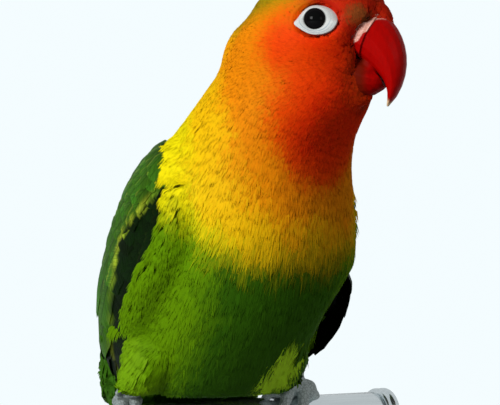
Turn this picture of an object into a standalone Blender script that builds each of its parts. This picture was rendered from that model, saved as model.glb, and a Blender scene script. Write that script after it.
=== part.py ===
"""A Fischer's lovebird, life size, gripping a cut length of round rail on a plain display stand.

Lengths are in millimetres and angles in degrees until a mesh is made, which is in metres.
Z is up and the origin is the centre of the stand's underside. The rail runs along X. Places on
the bird are (side, forward, up) from the top of the rail midway between the feet, in a frame
turned BODY_TURN to the bird's left; side is positive on the bird's left. The head has a frame of
its own, (side, forward, up) from the middle of the skull.
"""

import math
from typing import NamedTuple

import bmesh
import bpy
import numpy as np
from mathutils import Matrix, Vector

MM = 0.001
GAP = 0.3  # clearance between neighbouring pieces
SLANT_GAP = 0.6  # the same round a thigh, whose level rings are far from square to it

# The stand and the rail
BASE_RADIUS = 46.0
BASE_THICKNESS = 6.0
BASE_BEVEL = 1.0
ROD_RADIUS = 2.5
ROD_OFFSET = 31.0
RAIL_RADIUS = 5.0
RAIL_TOP = 60.0
RAIL_LEFT_END = 43.0  # on the bird's left, where the rail ends in its cap
RAIL_RIGHT_END = -42.0  # on the bird's right, where the rail is cut
RAIL_CHAMFER = 0.4
CAP_LENGTH = 2.8
CAP_RADIUS = 5.2
CAP_RIM_RADIUS = 5.7
CAP_RIM_WIDTH = 0.7

# The bird as a whole
BODY_TURN = 0.0
RING_POINTS = 28
RING_STEP = 0.36  # of the way from one station to the next
EGG_POWER = 2.15  # of the superellipse that the body's rings follow

# The head
HEAD_TURN = 38.0  # from the body's heading, to the bird's left
HEAD_CENTRE = (1.8, 39.0, 70.9)
CROWN_RISE = 10.4
CROWN_SHIFT = 1.6  # how far the crown lies ahead of the brow's middle

# The eyes
EYE_PLACE = (9.4, 3.25, 1.8)
EYE_RADIUS = 2.35
EYE_PROUD = 1.25  # how far the eyeball stands out of the face
EYE_FORWARD_TURN = 14.0
EYE_UP_TURN = 6.0
EYE_RING_HALF_LENGTH = 3.85
EYE_RING_HALF_HEIGHT = 3.0
EYE_RING_POINT = 0.5  # how far the ring's rear corner is drawn out
EYE_RING_DROP = 0.05  # how far the ring's rim hangs below its opening
EYE_RING_AHEAD = 0.3  # how far the ring's rim reaches ahead of its opening
EYE_RING_OPENING = 2.0
EYE_RING_DEPTH = 0.3
EYE_RING_PROUD = 0.3

# The feet
FOOT_PLACE = {"left": 20.0, "right": -17.4}  # along the rail
PALM_RISE = {"left": 2.3, "right": 0.7}  # above the rail's top
FOOT_BACK = 0.4
FOOT_ROOM = (8.8, 10.2, 10.4)  # half sizes of the egg cleared for a foot
TOE_RADIUS = 1.4
TOE_TIP_RADIUS = 1.05
CLAW_RADIUS = 0.95
CLAW_LENGTH = 3.9
KNUCKLE_SWELL = 0.14

# The tail, behind and below the trunk
TAIL_HALF_WIDTH = 8.6
TAIL_THICKNESS = 3.4


class Station(NamedTuple):
    """A ring across the bird, from the tail's tip to the brow."""

    forward: float
    up: float
    side: float
    lean: float  # of the ring's normal, forward from upright
    turn: float  # of the ring about the upright, to the bird's left
    width: float  # half widths and depths of the body
    front: float
    back: float
    wing_width: float  # the same of the surface that the folded wings lie on
    wing_back: float


STATIONS = {
    "tail_tip": Station(-34.5, -38.0, 0.0, 28, 0, 7.6, 1.2, 1.2, 7.0, 4.2),
    "tail_base": Station(-22.4, -17.5, 0.0, 33, 0, 9.8, 6.0, 5.4, 12.8, 9.0),
    "vent": Station(-14.2, -6.5, 0.0, 36, 0, 14.6, 11.5, 10.0, 17.6, 13.2),
    "rump": Station(-6.2, 4.5, 0.0, 37, 0, 18.2, 15.0, 14.0, 21.2, 17.2),
    "belly": Station(2.2, 16.5, 0.0, 35, 0, 20.6, 19.8, 16.8, 24.0, 20.0),
    "breast": Station(10.8, 30.5, 0.0, 32, 0, 21.4, 22.6, 17.8, 24.6, 21.0),
    "shoulder": Station(18.0, 43.0, 0.0, 28, 2, 19.4, 20.4, 16.8, 22.8, 19.2),
    "neck": Station(25.4, 54.0, 0.3, 22, 9, 15.6, 15.4, 14.6, 17.8, 16.8),
    "throat": Station(31.4, 61.5, 0.9, 12, 24, 13.4, 15.8, 14.4, 14.0, 15.6),
    "face": Station(36.8, 67.4, 1.6, 3, 36, 12.2, 11.4, 15.4, 12.2, 15.8),
    "eye": Station(38.8, 72.2, 1.8, 0, 38, 11.2, 13.0, 14.6, 11.2, 14.8),
    "brow": Station(39.0, 75.2, 1.8, 0, 38, 10.0, 12.8, 12.3, 10.0, 12.6),
}
NAMES = list(STATIONS)
TABLE = np.array([STATIONS[name] for name in NAMES])
TAIL_CUT = NAMES.index("tail_base") - 0.5
NECK_CUT = NAMES.index("neck") - 0.45
HEAD_CUT = NAMES.index("throat") - 0.25
BROW = NAMES.index("brow")


def on_curve(rows, place):
    """The row at a fractional place in a table, on a smooth curve through its rows."""
    last = len(rows) - 1
    low = min(max(int(place), 0), last - 1)
    t = place - low
    before, start, end, after = (rows[min(max(low + k, 0), last)] for k in (-1, 0, 1, 2))
    bend = 2 * before - 5 * start + 4 * end - after
    twist = 3 * start - before - 3 * end + after
    return 0.5 * (2 * start + (end - before) * t + bend * t**2 + twist * t**3)


def bezier(controls, t):
    """A point on a Bezier curve of any degree."""
    points = [np.array(point, float) for point in controls]
    while len(points) > 1:
        points = [a + (b - a) * t for a, b in zip(points, points[1:])]
    return points[0]


def bird_frame():
    """The matrix from (side, forward, up) on the bird to the world, in millimetres."""
    swap = Matrix(((1, 0, 0, 0), (0, -1, 0, 0), (0, 0, 1, 0), (0, 0, 0, 1)))
    turn = Matrix.Rotation(math.radians(BODY_TURN), 4, "Z")
    return Matrix.Translation((0, 0, RAIL_TOP)) @ turn @ swap


def head_frame():
    """The matrix from (side, forward, up) on the head to the world, in millimetres."""
    turn = Matrix.Rotation(math.radians(-HEAD_TURN), 4, "Z")
    return bird_frame() @ Matrix.Translation(HEAD_CENTRE) @ turn


def placed(points, frame):
    """Points taken through a frame, as an array."""
    matrix = np.array(frame)
    return np.asarray(points, float) @ matrix[:3, :3].T + matrix[:3, 3]


def colour(name, rgb, roughness, metallic=0.0):
    """A plain Principled material, made once."""
    if name in bpy.data.materials:
        return bpy.data.materials[name]
    material = bpy.data.materials.new(name)
    material.use_nodes = True
    shader = material.node_tree.nodes["Principled BSDF"]
    shader.inputs["Base Color"].default_value = (*rgb, 1)
    shader.inputs["Roughness"].default_value = roughness
    shader.inputs["Metallic"].default_value = metallic
    return material


def add_object(name, mesh, material=None):
    """Links a mesh to the scene as a smooth-shaded object."""
    thing = bpy.data.objects.new(name, mesh)
    bpy.context.scene.collection.objects.link(thing)
    if material:
        mesh.materials.append(material)
    mesh.shade_smooth()
    mesh.set_sharp_from_angle(angle=math.radians(50))
    return thing


def loft(name, rings, material=None):
    """A closed solid through rings of points in world millimetres, capped at both ends."""
    shape = bmesh.new()
    loops = [[shape.verts.new(Vector(point) * MM) for point in ring] for ring in rings]
    count = len(loops[0])
    for low, high in zip(loops, loops[1:]):
        for k in range(count):
            shape.faces.new((low[k], low[(k + 1) % count], high[(k + 1) % count], high[k]))
    for loop in (loops[0], loops[-1]):
        pole = shape.verts.new(sum((v.co for v in loop), Vector()) / count)
        for k in range(count):
            shape.faces.new((loop[k], loop[(k + 1) % count], pole))
    bmesh.ops.remove_doubles(shape, verts=shape.verts, dist=1e-6)
    bmesh.ops.recalc_face_normals(shape, faces=shape.faces)
    mesh = bpy.data.meshes.new(name)
    shape.to_mesh(mesh)
    shape.free()
    return add_object(name, mesh, material)


def as_cutter(thing):
    """Marks an object as a helper, which is neither built nor rendered."""
    thing.hide_render = True
    thing.display_type = "WIRE"
    return thing


def combine(thing, other, operation):
    """A Boolean with another object, which becomes a helper."""
    modifier = thing.modifiers.new(f"{operation.lower()} {other.name}", "BOOLEAN")
    modifier.operation = operation
    modifier.solver = "MANIFOLD"
    modifier.object = as_cutter(other)


def ring_axes(station):
    """A ring's forward and side directions on the bird: it leans forward and turns left."""
    lean, turn = math.radians(station.lean), math.radians(station.turn)
    forward = np.array(
        (math.sin(turn) * math.cos(lean), math.cos(turn) * math.cos(lean), -math.sin(lean))
    )
    side = np.array((math.cos(turn), -math.sin(turn), 0.0))
    return forward, side


def power(value, exponent):
    return math.copysign(abs(value) ** exponent, value)


def ring_point(station, angle, width, front, back):
    """A point of a ring, at an angle from the bird's front towards its left."""
    forward, side = ring_axes(station)
    across = power(math.sin(angle), 2 / EGG_POWER)
    ahead = power(math.cos(angle), 2 / EGG_POWER)
    centre = np.array((station.side, station.forward, station.up))
    return centre + forward * ahead * (front if ahead > 0 else back) + side * across * width


def body_ring(place, grow=0.0, shrink=1.0, shift=(0.0, 0.0, 0.0)):
    """A ring of the body in world millimetres, at a place between stations."""
    station = Station(*on_curve(TABLE, place))
    sizes = (size * shrink + grow for size in (station.width, station.front, station.back))
    width, front, back = sizes
    turns = np.linspace(0, 2 * math.pi, RING_POINTS, endpoint=False)
    points = [ring_point(station, angle, width, front, back) for angle in turns]
    return placed(np.array(points) + np.array(shift), bird_frame())


def body_rings(low, high, grow=0.0):
    """Rings of the body between two places, evenly spread."""
    count = max(2, math.ceil((high - low) / RING_STEP) + 1)
    return [body_ring(place, grow) for place in np.linspace(low, high, count)]


def cut_half_gap(low, high):
    """Half a gap as a share of the way between two stations."""
    near, far = (np.array((s.forward, s.up)) for s in (STATIONS[low], STATIONS[high]))
    return GAP / 2 / np.linalg.norm(far - near)


def crown_rings():
    """The rings that close the head from the brow to the crown, on a quarter ellipse."""
    rise_to_crown = HEAD_CENTRE[2] + CROWN_RISE - STATIONS["brow"].up
    turn = math.radians(HEAD_TURN)
    ahead = np.array((math.sin(turn), math.cos(turn), 0.0))
    rings = []
    for step in np.linspace(0, math.pi / 2, 7)[1:]:
        rise = math.sin(step)
        shift = ahead * CROWN_SHIFT * rise + np.array((0.0, 0.0, rise_to_crown * rise))
        rings.append(body_ring(BROW, shrink=max(math.cos(step), 0.02), shift=shift))
    return rings


GREEN = ("belly green", (0.10, 0.32, 0.03), 0.6)
DARK_GREEN = ("wing green", (0.03, 0.16, 0.03), 0.55)
BLACKISH = ("flight feather black", (0.02, 0.035, 0.02), 0.5)
YELLOW = ("collar yellow", (0.75, 0.55, 0.02), 0.6)
ORANGE = ("face orange red", (0.62, 0.10, 0.01), 0.6)
BILL_RED = ("bill red", (0.50, 0.01, 0.01), 0.25)
CERE_WHITE = ("cere white", (0.70, 0.55, 0.48), 0.5)
RING_WHITE = ("eye ring white", (0.72, 0.76, 0.76), 0.5)
EYE_BLACK = ("eye black", (0.01, 0.008, 0.008), 0.05)
FOOT_GREY = ("foot grey", (0.22, 0.24, 0.24), 0.6)
CLAW_GREY = ("claw grey", (0.08, 0.08, 0.08), 0.35)
STEEL = ("polished steel", (0.75, 0.78, 0.80), 0.12, 1.0)
BASE_PAINT = ("stand paint", (0.60, 0.61, 0.62), 0.5)


def build_flesh():
    """The head, neck and trunk: one body, parted by two thin cuts."""
    neck_gap = cut_half_gap("shoulder", "neck")
    head_gap = cut_half_gap("neck", "throat")
    start = TAIL_CUT + cut_half_gap("tail_tip", "tail_base")
    trunk = loft("trunk", body_rings(start, NECK_CUT - neck_gap), colour(*GREEN))
    neck = loft("neck", body_rings(NECK_CUT + neck_gap, HEAD_CUT - head_gap), colour(*YELLOW))
    rings = body_rings(HEAD_CUT + head_gap, BROW) + crown_rings()
    head = loft("head", rings, colour(*ORANGE))
    return trunk, neck, head


# The bill, in the head's frame, in its middle plane: (forward, up)
CULMEN = ((11.8, 3.3), (15.5, 2.8), (20.5, -6.5), (13.7, -13.8))
TOMIUM = ((8.3, -4.2), (10.4, -6.8), (15.1, -8.4), (13.6, -13.6))
BILL_HALF_WIDTH = 5.2
BILL_BASE = -0.10  # places along the bill, as shares of its length
CERE_EDGE = 0.055
BILL_STEPS = 12
BILL_RING_POINTS = 16
CERE_GROW = 0.35
LOWER_TOP = ((7.4, -3.4), (9.8, -4.0), (12.2, -5.8), (14.0, -8.8))
LOWER_KEEL = ((7.0, -11.4), (9.0, -12.8), (11.6, -11.7), (14.0, -9.4))
LOWER_HALF_WIDTH = 3.5


def bill_ring(top, bottom, half_width, share, grow):
    """A ring of one half of the bill: narrow at the ridge, full at the sides."""
    ridge, edge = bezier(top, share), bezier(bottom, share)
    middle, reach = (ridge + edge) / 2, (ridge - edge) / 2
    length = max(np.linalg.norm(reach), 1e-6)
    reach = reach * (length + grow) / length
    points = []
    for angle in np.linspace(0, 2 * math.pi, BILL_RING_POINTS, endpoint=False):
        height = power(math.cos(angle), 0.9)
        fullness = 1 - 0.22 * max(height, 0)
        across = power(math.sin(angle), 0.9) * (half_width + grow) * fullness
        place = middle + reach * height
        points.append((across, *place))
    return placed(points, head_frame())


def upper_width(share):
    """Half the upper bill's width: full at the base, drawn in to the hook."""
    taper = max(1 - max(share, 0.0), 0.0)
    return BILL_HALF_WIDTH * (0.06 + 0.94 * taper**0.62)


def lower_width(share):
    taper = max(1 - max(share, 0.0) ** 2.2, 0.0)
    return LOWER_HALF_WIDTH * (0.3 + 0.7 * taper**0.5)


def upper_bill_rings(low, high, grow=0.0):
    return [
        bill_ring(CULMEN, TOMIUM, upper_width(share), share, grow)
        for share in np.linspace(low, high, BILL_STEPS)
    ]


def lower_bill_rings(low, high, grow=0.0):
    return [
        bill_ring(LOWER_TOP, LOWER_KEEL, lower_width(share), share, grow)
        for share in np.linspace(low, high, BILL_STEPS // 2)
    ]


def build_bill(head):
    """The cere and both halves of the bill, and their seat in the head."""
    half_gap = 0.012
    upper = loft("bill_upper", upper_bill_rings(CERE_EDGE + half_gap, 1.0), colour(*BILL_RED))
    cere_rings = upper_bill_rings(BILL_BASE, CERE_EDGE - half_gap, CERE_GROW)
    cere = loft("cere", cere_rings, colour(*CERE_WHITE))
    lower = loft("bill_lower", lower_bill_rings(-0.1, 1.0), colour(*BILL_RED))
    seat_rings = upper_bill_rings(BILL_BASE - 0.03, 1.0, CERE_GROW + GAP)
    seat = loft("bill seat", seat_rings)
    combine(head, seat, "DIFFERENCE")
    combine(lower, seat, "DIFFERENCE")
    lower_seat = loft("lower bill seat", lower_bill_rings(-0.15, 1.0, GAP))
    combine(head, lower_seat, "DIFFERENCE")
    return upper, cere, lower


def eye_frame(side):
    """The matrix from an eye's own frame to the world: X to the front, Y up, Z outward."""
    place = Vector((side * EYE_PLACE[0], EYE_PLACE[1], EYE_PLACE[2]))
    forward, up = math.radians(EYE_FORWARD_TURN), math.radians(EYE_UP_TURN)
    outward = Vector((side * math.cos(forward), math.sin(forward), math.sin(up))).normalized()
    ahead = Vector((0, 1, 0)) - outward * outward.y
    ahead.normalize()
    upward = Vector((0, 0, 1)) - outward * outward.z - ahead * ahead.z
    upward.normalize()
    axes = Matrix((ahead, upward, outward)).transposed().to_4x4()
    return head_frame() @ Matrix.Translation(place) @ axes


def eye_ring_edge(angle, opening_share, grow):
    """A point of the bare ring, from its opening at 0 to its rim at 1, drawn out to the rear."""
    corner = EYE_RING_POINT * max(-math.cos(angle - math.radians(7)), 0) ** 6
    rim_x = (EYE_RING_HALF_LENGTH + corner + grow) * math.cos(angle) + EYE_RING_AHEAD
    rim_y = (EYE_RING_HALF_HEIGHT + grow) * math.sin(angle) - EYE_RING_DROP
    inner_x, inner_y = EYE_RING_OPENING * math.cos(angle), EYE_RING_OPENING * math.sin(angle)
    x = inner_x + (rim_x - inner_x) * opening_share
    y = inner_y + (rim_y - inner_y) * opening_share
    return x, y


def ring_height(share):
    """How far the ring stands off the face, from its opening at 0 to its rim at 1."""
    return EYE_RING_PROUD * math.sin(math.pi * (0.18 + 0.82 * share) ** 0.8)


def build_eye(name, side, head):
    """An eyeball and the bare ring round it, and their socket in the head."""
    frame = eye_frame(side)
    centre = frame @ Matrix.Translation((0, 0, EYE_PROUD - EYE_RADIUS))
    eye = ball(f"eye_{name}", EYE_RADIUS, centre, colour(*EYE_BLACK), segments=16)
    angles = np.linspace(0, 2 * math.pi, 18, endpoint=False)
    dish = []
    for share in (0.0, 0.3, 0.65, 1.0):
        height = ring_height(share)
        dish.append([(*eye_ring_edge(a, share, 0), height + 0.75) for a in angles])
    for share in (1.0, 0.45, 0.0):
        dish.append([(*eye_ring_edge(a, share, 0), -EYE_RING_DEPTH) for a in angles])
    ring = loft_closed(f"eye_ring_{name}", [placed(r, frame) for r in dish], colour(*RING_WHITE))
    socket = [
        [(*eye_ring_edge(a, 1.0, GAP), height) for a in angles]
        for height in (-EYE_RING_DEPTH - GAP, 0, 4.0)
    ]
    combine(head, loft(f"eye socket {name}", [placed(r, frame) for r in socket]), "DIFFERENCE")
    bed = ball(f"eyeball bed {name}", EYE_RADIUS + GAP, centre)
    combine(head, bed, "DIFFERENCE")
    combine(ring, bed, "DIFFERENCE")
    return eye, ring


def ball(name, radius, frame, material=None, segments=16):
    """A ball about a frame's origin, in millimetres."""
    shape = bmesh.new()
    bmesh.ops.create_uvsphere(
        shape, u_segments=segments, v_segments=segments // 2, radius=radius
    )
    bmesh.ops.transform(shape, verts=shape.verts, matrix=Matrix.Scale(MM, 4) @ frame)
    bmesh.ops.recalc_face_normals(shape, faces=shape.faces)
    mesh = bpy.data.meshes.new(name)
    shape.to_mesh(mesh)
    shape.free()
    return add_object(name, mesh, material)


def loft_closed(name, rings, material=None):
    """A solid whose last ring joins its first, as round a hole."""
    shape = bmesh.new()
    loops = [[shape.verts.new(Vector(point) * MM) for point in ring] for ring in rings]
    count = len(loops[0])
    for low, high in zip(loops, loops[1:] + loops[:1]):
        for k in range(count):
            shape.faces.new((low[k], low[(k + 1) % count], high[(k + 1) % count], high[k]))
    bmesh.ops.recalc_face_normals(shape, faces=shape.faces)
    mesh = bpy.data.meshes.new(name)
    shape.to_mesh(mesh)
    shape.free()
    return add_object(name, mesh, material)


# The folded wings: a patch of the wing surface, from its leading edge to its upper edge
LEADING_ANGLE = {  # at each station, from the front
    "left": (128, 112, 94, 79, 69, 69, 76, 94),
    "right": (128, 121, 104, 90, 79, 74, 76, 94),
}
UPPER_ANGLE = (150, 168, 172, 172, 170, 164, 150, 128)
WRIST = NAMES.index("neck") - 0.36
WING_SPAN_STEPS = 12
WING_CHORD_STEPS = 6
WING_DEPTH = 5.5


def wing_angle(angles, place):
    rows = np.array(angles, float).reshape(-1, 1)
    return math.radians(float(on_curve(rows, min(place, len(angles) - 1))[0]))


def wrist_edge(across):
    """The place of the wing's rounded upper end, across it from 0 to 1."""
    return WRIST - 0.95 * (2 * abs(across - 0.30)) ** 2.2


def secondary_edge(across):
    """Where the coverts and inner flight feathers end, across the wing from 0 to 1."""
    return 2.75 - 1.65 * across**0.8


def primary_edge(across):
    """Where the outer flight feathers end: their tips draw to a point."""
    return 0.30 + 0.9 * abs(across - 0.42) ** 1.5


def wing_depth(place):
    """How deep the wing solid runs: into the trunk above, and thin past it."""
    thin = 1.5
    return thin + (WING_DEPTH - thin) * min(max((place - 1.6) / 1.6, 0.0), 1.0)


def wing_surface(side, place, across, sink, flare=0.0):
    """A point of the wing in world millimetres."""
    station = Station(*on_curve(TABLE, place))
    low = wing_angle(LEADING_ANGLE["left" if side > 0 else "right"], place)
    high = wing_angle(UPPER_ANGLE, place)
    angle = low + (high - low) * across
    width, back = station.wing_width - sink + flare, station.wing_back - sink + flare
    point = ring_point(station, angle, width, width, back)
    point[0] = abs(point[0] - station.side) * side + station.side
    return placed(point, bird_frame())


def wing_patch(name, side, top, bottom, material):
    """A closed shell over the patch between two edges that run across the wing."""
    spans = np.linspace(0, 1, WING_SPAN_STEPS)
    chords = np.linspace(0, 1, WING_CHORD_STEPS)
    outer, inner = [], []
    for span in spans:
        outer.append([])
        inner.append([])
        for across in chords:
            place = top(across) + (bottom(across) - top(across)) * span
            rim = min(across, 1 - across, span / 2, (1 - span) / 2) / 0.12
            edge = 1.2 * (1 - min(rim, 1.0)) ** 2
            depth = wing_depth(place)
            outer[-1].append(wing_surface(side, place, across, min(edge, depth * 0.35)))
            inner[-1].append(wing_surface(side, place, across, depth))
    return shell(name, outer, inner, material)


def shell(name, outer, inner, material):
    """A closed solid between two grids of points."""
    shape = bmesh.new()
    grids = [
        [[shape.verts.new(Vector(point) * MM) for point in row] for row in grid]
        for grid in (outer, inner)
    ]
    rows, columns = len(outer), len(outer[0])
    for grid in grids:
        for i in range(rows - 1):
            for j in range(columns - 1):
                shape.faces.new((grid[i][j], grid[i][j + 1], grid[i + 1][j + 1], grid[i + 1][j]))
    border = [(0, j) for j in range(columns)]
    border += [(i, columns - 1) for i in range(1, rows)]
    border += [(rows - 1, j) for j in range(columns - 2, -1, -1)]
    border += [(i, 0) for i in range(rows - 2, 0, -1)]
    top, under = grids
    for (a, b), (c, d) in zip(border, border[1:] + border[:1]):
        shape.faces.new((top[a][b], top[c][d], under[c][d], under[a][b]))
    bmesh.ops.recalc_face_normals(shape, faces=shape.faces)
    mesh = bpy.data.meshes.new(name)
    shape.to_mesh(mesh)
    shape.free()
    return add_object(name, mesh, material)


def build_wing(name, side, trunk_room):
    """A folded wing: coverts and inner feathers, and the outer flight feathers below them."""
    edge_gap = 0.045
    coverts = wing_patch(
        f"wing_{name}", side, wrist_edge, secondary_edge, colour(*DARK_GREEN)
    )
    primaries = wing_patch(
        f"primaries_{name}",
        side,
        lambda across: secondary_edge(across) - edge_gap,
        primary_edge,
        colour(*BLACKISH),
    )
    for thing in (coverts, primaries):
        combine(thing, trunk_room, "DIFFERENCE")
    return coverts, primaries


def build_tail():
    """The tail: a flat wedge of stacked feathers, rounded at its tip."""
    rings = []
    end = NAMES.index("tail_tip")
    first = TAIL_CUT - cut_half_gap("tail_tip", "tail_base")
    for share in np.linspace(0, 1, 8):
        place = first + (end - first) * share
        station = Station(*on_curve(TABLE, place))
        rounding = math.sqrt(max(1 - share**5, 0.012))
        width = TAIL_HALF_WIDTH * (1 + 0.10 * share) * rounding
        depth = TAIL_THICKNESS / 2 * (1 - 0.55 * share) * (0.45 + 0.55 * rounding)
        ring = []
        for angle in np.linspace(0, 2 * math.pi, 20, endpoint=False):
            point = ring_point(station, angle, width, depth, depth)
            droop = 0.10 * width * (point[0] / TAIL_HALF_WIDTH) ** 2
            forward, _ = ring_axes(station)
            ring.append(point + forward * droop)
        rings.append(placed(ring, bird_frame()))
    return loft("tail", rings, colour(*DARK_GREEN))


# The thighs: places on the bird and radii, from the flank down to the foot
THIGH = {
    "left": (
        ((8.2, 12.0, 17.4), 4.4),
        ((9.2, 15.6, 12.4), 5.3),
        ((10.6, 14.2, 7.6), 4.9),
        ((13.8, 8.2, 3.2), 3.5),
    ),
    "right": (
        ((-12.6, 6.0, 18.0), 4.6),
        ((-15.8, 8.0, 12.0), 5.4),
        ((-17.8, 7.0, 6.6), 5.0),
        ((-18.8, 4.4, 2.0), 3.9),
    ),
}


def thigh_rings(name, grow=0.0):
    """Rings down a thigh, level ones, closed to a dome above."""
    rows = np.array([(*place, radius) for place, radius in THIGH[name]])
    rings = []
    for share in np.linspace(0, 1, 8):
        x, forward, up, radius = on_curve(rows, share * (len(rows) - 1))
        radius = radius * math.sqrt(min(1.0, 0.12 + 4.0 * share)) + grow
        turns = np.linspace(0, 2 * math.pi, 14, endpoint=False)
        lift = grow if share == 0 else (-grow if share == 1 else 0)
        ring = [
            (x + radius * math.sin(a), forward + radius * math.cos(a), up + lift) for a in turns
        ]
        rings.append(placed(ring, bird_frame()))
    return rings


class Toe(NamedTuple):
    """One toe: which way it wraps the rail, its drift along the rail, its length and its arch."""

    ahead: int
    splay: float  # degrees towards the bird's left
    length: float
    start: float  # side offset of its root on the palm
    arch: float  # how far it stands off the rail at its root


TOES = {
    "left": (
        Toe(1, -40, 12.0, -1.0, 1.2),
        Toe(1, -18, 15.0, 1.2, 1.9),
        Toe(-1, 24, 12.5, 1.2, 0.4),
        Toe(-1, -22, 9.5, -0.9, 0.4),
    ),
    "right": (
        Toe(1, -24, 12.0, 0.8, 0.2),
        Toe(1, -31, 15.0, -1.2, 0.4),
        Toe(-1, 12, 12.5, -0.9, 0.1),
        Toe(-1, 26, 9.5, 1.0, 0.1),
    ),
}
TOE_RING_POINTS = 8
TOE_STEPS = 9


def toe_path(toe, foot_place, run):
    """The centre of a toe this far along it, as it wraps the rail, in world millimetres."""
    radius = toe_radius(toe, run)
    angle = run / (RAIL_RADIUS + TOE_RADIUS + GAP)
    arch = toe.arch * max(math.cos(min(angle, 1.2) * math.pi / 2.4), 0.0)
    wrap = RAIL_RADIUS + GAP + radius + arch
    x = foot_place + toe.start + math.sin(math.radians(toe.splay)) * min(run, 8.0)
    y = -toe.ahead * wrap * math.sin(angle) + FOOT_BACK * math.cos(angle)
    return np.array((x, y, RAIL_TOP - RAIL_RADIUS + wrap * math.cos(angle)))


def toe_radius(toe, run):
    """A toe's radius: tapered, with a swelling at each joint."""
    share = min(max(run / toe.length, 0.0), 1.0)
    taper = TOE_RADIUS + (TOE_TIP_RADIUS - TOE_RADIUS) * share
    return taper * (1 + KNUCKLE_SWELL * math.cos(2 * math.pi * run / 4.4))


def tube_rings(centres, radii, count=TOE_RING_POINTS):
    """Rings square to a path."""
    rings = []
    reference = np.array((1.0, 0.0, 0.0))
    for k, (centre, radius) in enumerate(zip(centres, radii)):
        ahead = centres[min(k + 1, len(centres) - 1)] - centres[max(k - 1, 0)]
        ahead = ahead / np.linalg.norm(ahead)
        one = reference - ahead * (reference @ ahead)
        one = one / np.linalg.norm(one)
        two = np.cross(ahead, one)
        turns = np.linspace(0, 2 * math.pi, count, endpoint=False)
        rings.append([centre + radius * (math.cos(a) * one + math.sin(a) * two) for a in turns])
    return rings


def shank_rings(name, grow=0.0):
    """Rings from the palm up the shank and into the thigh."""
    palm = np.array((FOOT_PLACE[name], -0.6, RAIL_TOP + PALM_RISE[name]))
    top = placed(THIGH[name][-1][0], bird_frame()) + (0, 0, 1.2)
    share = np.linspace(-0.3, 1, 7)
    centres = [palm + (top - palm) * s for s in share]
    radii = [2.3 * math.sqrt(max(1 - (s - 0.1) ** 2 * 0.75, 0.3)) + grow for s in share]
    return tube_rings(centres, radii, 12)


def build_foot(name):
    """A foot: the palm and shank with two toes in front of the rail and two behind."""
    foot_place = FOOT_PLACE[name]
    foot = loft(f"foot_{name}", shank_rings(name), colour(*FOOT_GREY))
    for number, toe in enumerate(TOES[name], start=1):
        runs = np.linspace(0, toe.length, TOE_STEPS)
        centres = [toe_path(toe, foot_place, run) for run in runs]
        radii = [toe_radius(toe, run) for run in runs]
        radii[-1] *= 0.72
        pad = loft(f"toe {name} {number}", tube_rings(centres, radii))
        combine(foot, pad, "UNION")
        build_claw(f"claw_{name}_{number}", toe, foot_place)
    combine(foot, rail_cylinder(f"rail room at foot {name}", GAP), "DIFFERENCE")
    combine(foot, loft(f"thigh room at foot {name}", thigh_rings(name, SLANT_GAP)), "DIFFERENCE")


def build_claw(name, toe, foot_place):
    """A claw: a curved cone that carries on the toe's wrap."""
    runs = np.linspace(toe.length + GAP + 0.1, toe.length + CLAW_LENGTH, 5)
    centres, radii = [], []
    for run in runs:
        share = (run - runs[0]) / (runs[-1] - runs[0])
        centre = toe_path(toe, foot_place, run)
        outward = centre - np.array((centre[0], 0.0, RAIL_TOP - RAIL_RADIUS))
        outward = outward / np.linalg.norm(outward)
        centres.append(centre + outward * (0.55 * share**1.5))
        radii.append(CLAW_RADIUS * (1 - share) ** 0.7 + 0.09)
    loft(name, tube_rings(centres, radii, 6), colour(*CLAW_GREY))


def foot_room(name):
    """The room round a foot, cleared from the trunk: an egg about the rail."""
    place = Vector((FOOT_PLACE[name], 0, RAIL_TOP - RAIL_RADIUS))
    tilt = Matrix.Rotation(math.radians(7), 4, "X")
    frame = Matrix.Translation(place) @ tilt @ Matrix.Diagonal((*FOOT_ROOM, 1))
    return ball(f"foot room {name}", 1.0, frame, segments=20)


def turned(name, profile, axis, place, material=None, segments=24):
    """A round solid from (radius, run) points along an axis through a place."""
    rings = []
    turns = np.linspace(0, 2 * math.pi, segments, endpoint=False)
    for radius, run in profile:
        for_axis = {
            "X": lambda c, s, run=run: (run, c, s),
            "Z": lambda c, s, run=run: (c, s, run),
        }[axis]
        ring = [
            np.array(place) + for_axis(radius * math.cos(a), radius * math.sin(a)) for a in turns
        ]
        rings.append(ring)
    return loft(name, rings, material)


def rail_cylinder(name, grow):
    """The room that the rail takes, longer than the bird is wide."""
    centre = (0, 0, RAIL_TOP - RAIL_RADIUS)
    radius = RAIL_RADIUS + grow
    return turned(name, ((radius, -60), (radius, 60)), "X", centre, segments=24)


def build_rail():
    """The cut length of rail, and the ringed cap on the end that it still has."""
    centre = (0, 0, RAIL_TOP - RAIL_RADIUS)
    inside = RAIL_RADIUS - RAIL_CHAMFER
    cap_start = RAIL_LEFT_END - CAP_LENGTH
    profile = (
        (inside, RAIL_RIGHT_END),
        (RAIL_RADIUS, RAIL_RIGHT_END + RAIL_CHAMFER),
        (RAIL_RADIUS, cap_start - GAP),
    )
    rail = turned("perch_rail", profile, "X", centre, colour(*STEEL))
    second_rim = RAIL_LEFT_END - CAP_RIM_WIDTH
    soft = 0.25
    cap_profile = (
        (CAP_RIM_RADIUS - soft, cap_start),
        (CAP_RIM_RADIUS, cap_start + soft),
        (CAP_RIM_RADIUS, cap_start + CAP_RIM_WIDTH - soft),
        (CAP_RADIUS, cap_start + CAP_RIM_WIDTH + soft),
        (CAP_RADIUS, second_rim - soft),
        (CAP_RIM_RADIUS, second_rim + soft),
        (CAP_RIM_RADIUS, RAIL_LEFT_END - soft),
        (CAP_RIM_RADIUS - soft, RAIL_LEFT_END),
    )
    cap = turned("perch_cap", cap_profile, "X", centre, colour(*STEEL))
    return rail, cap


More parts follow.
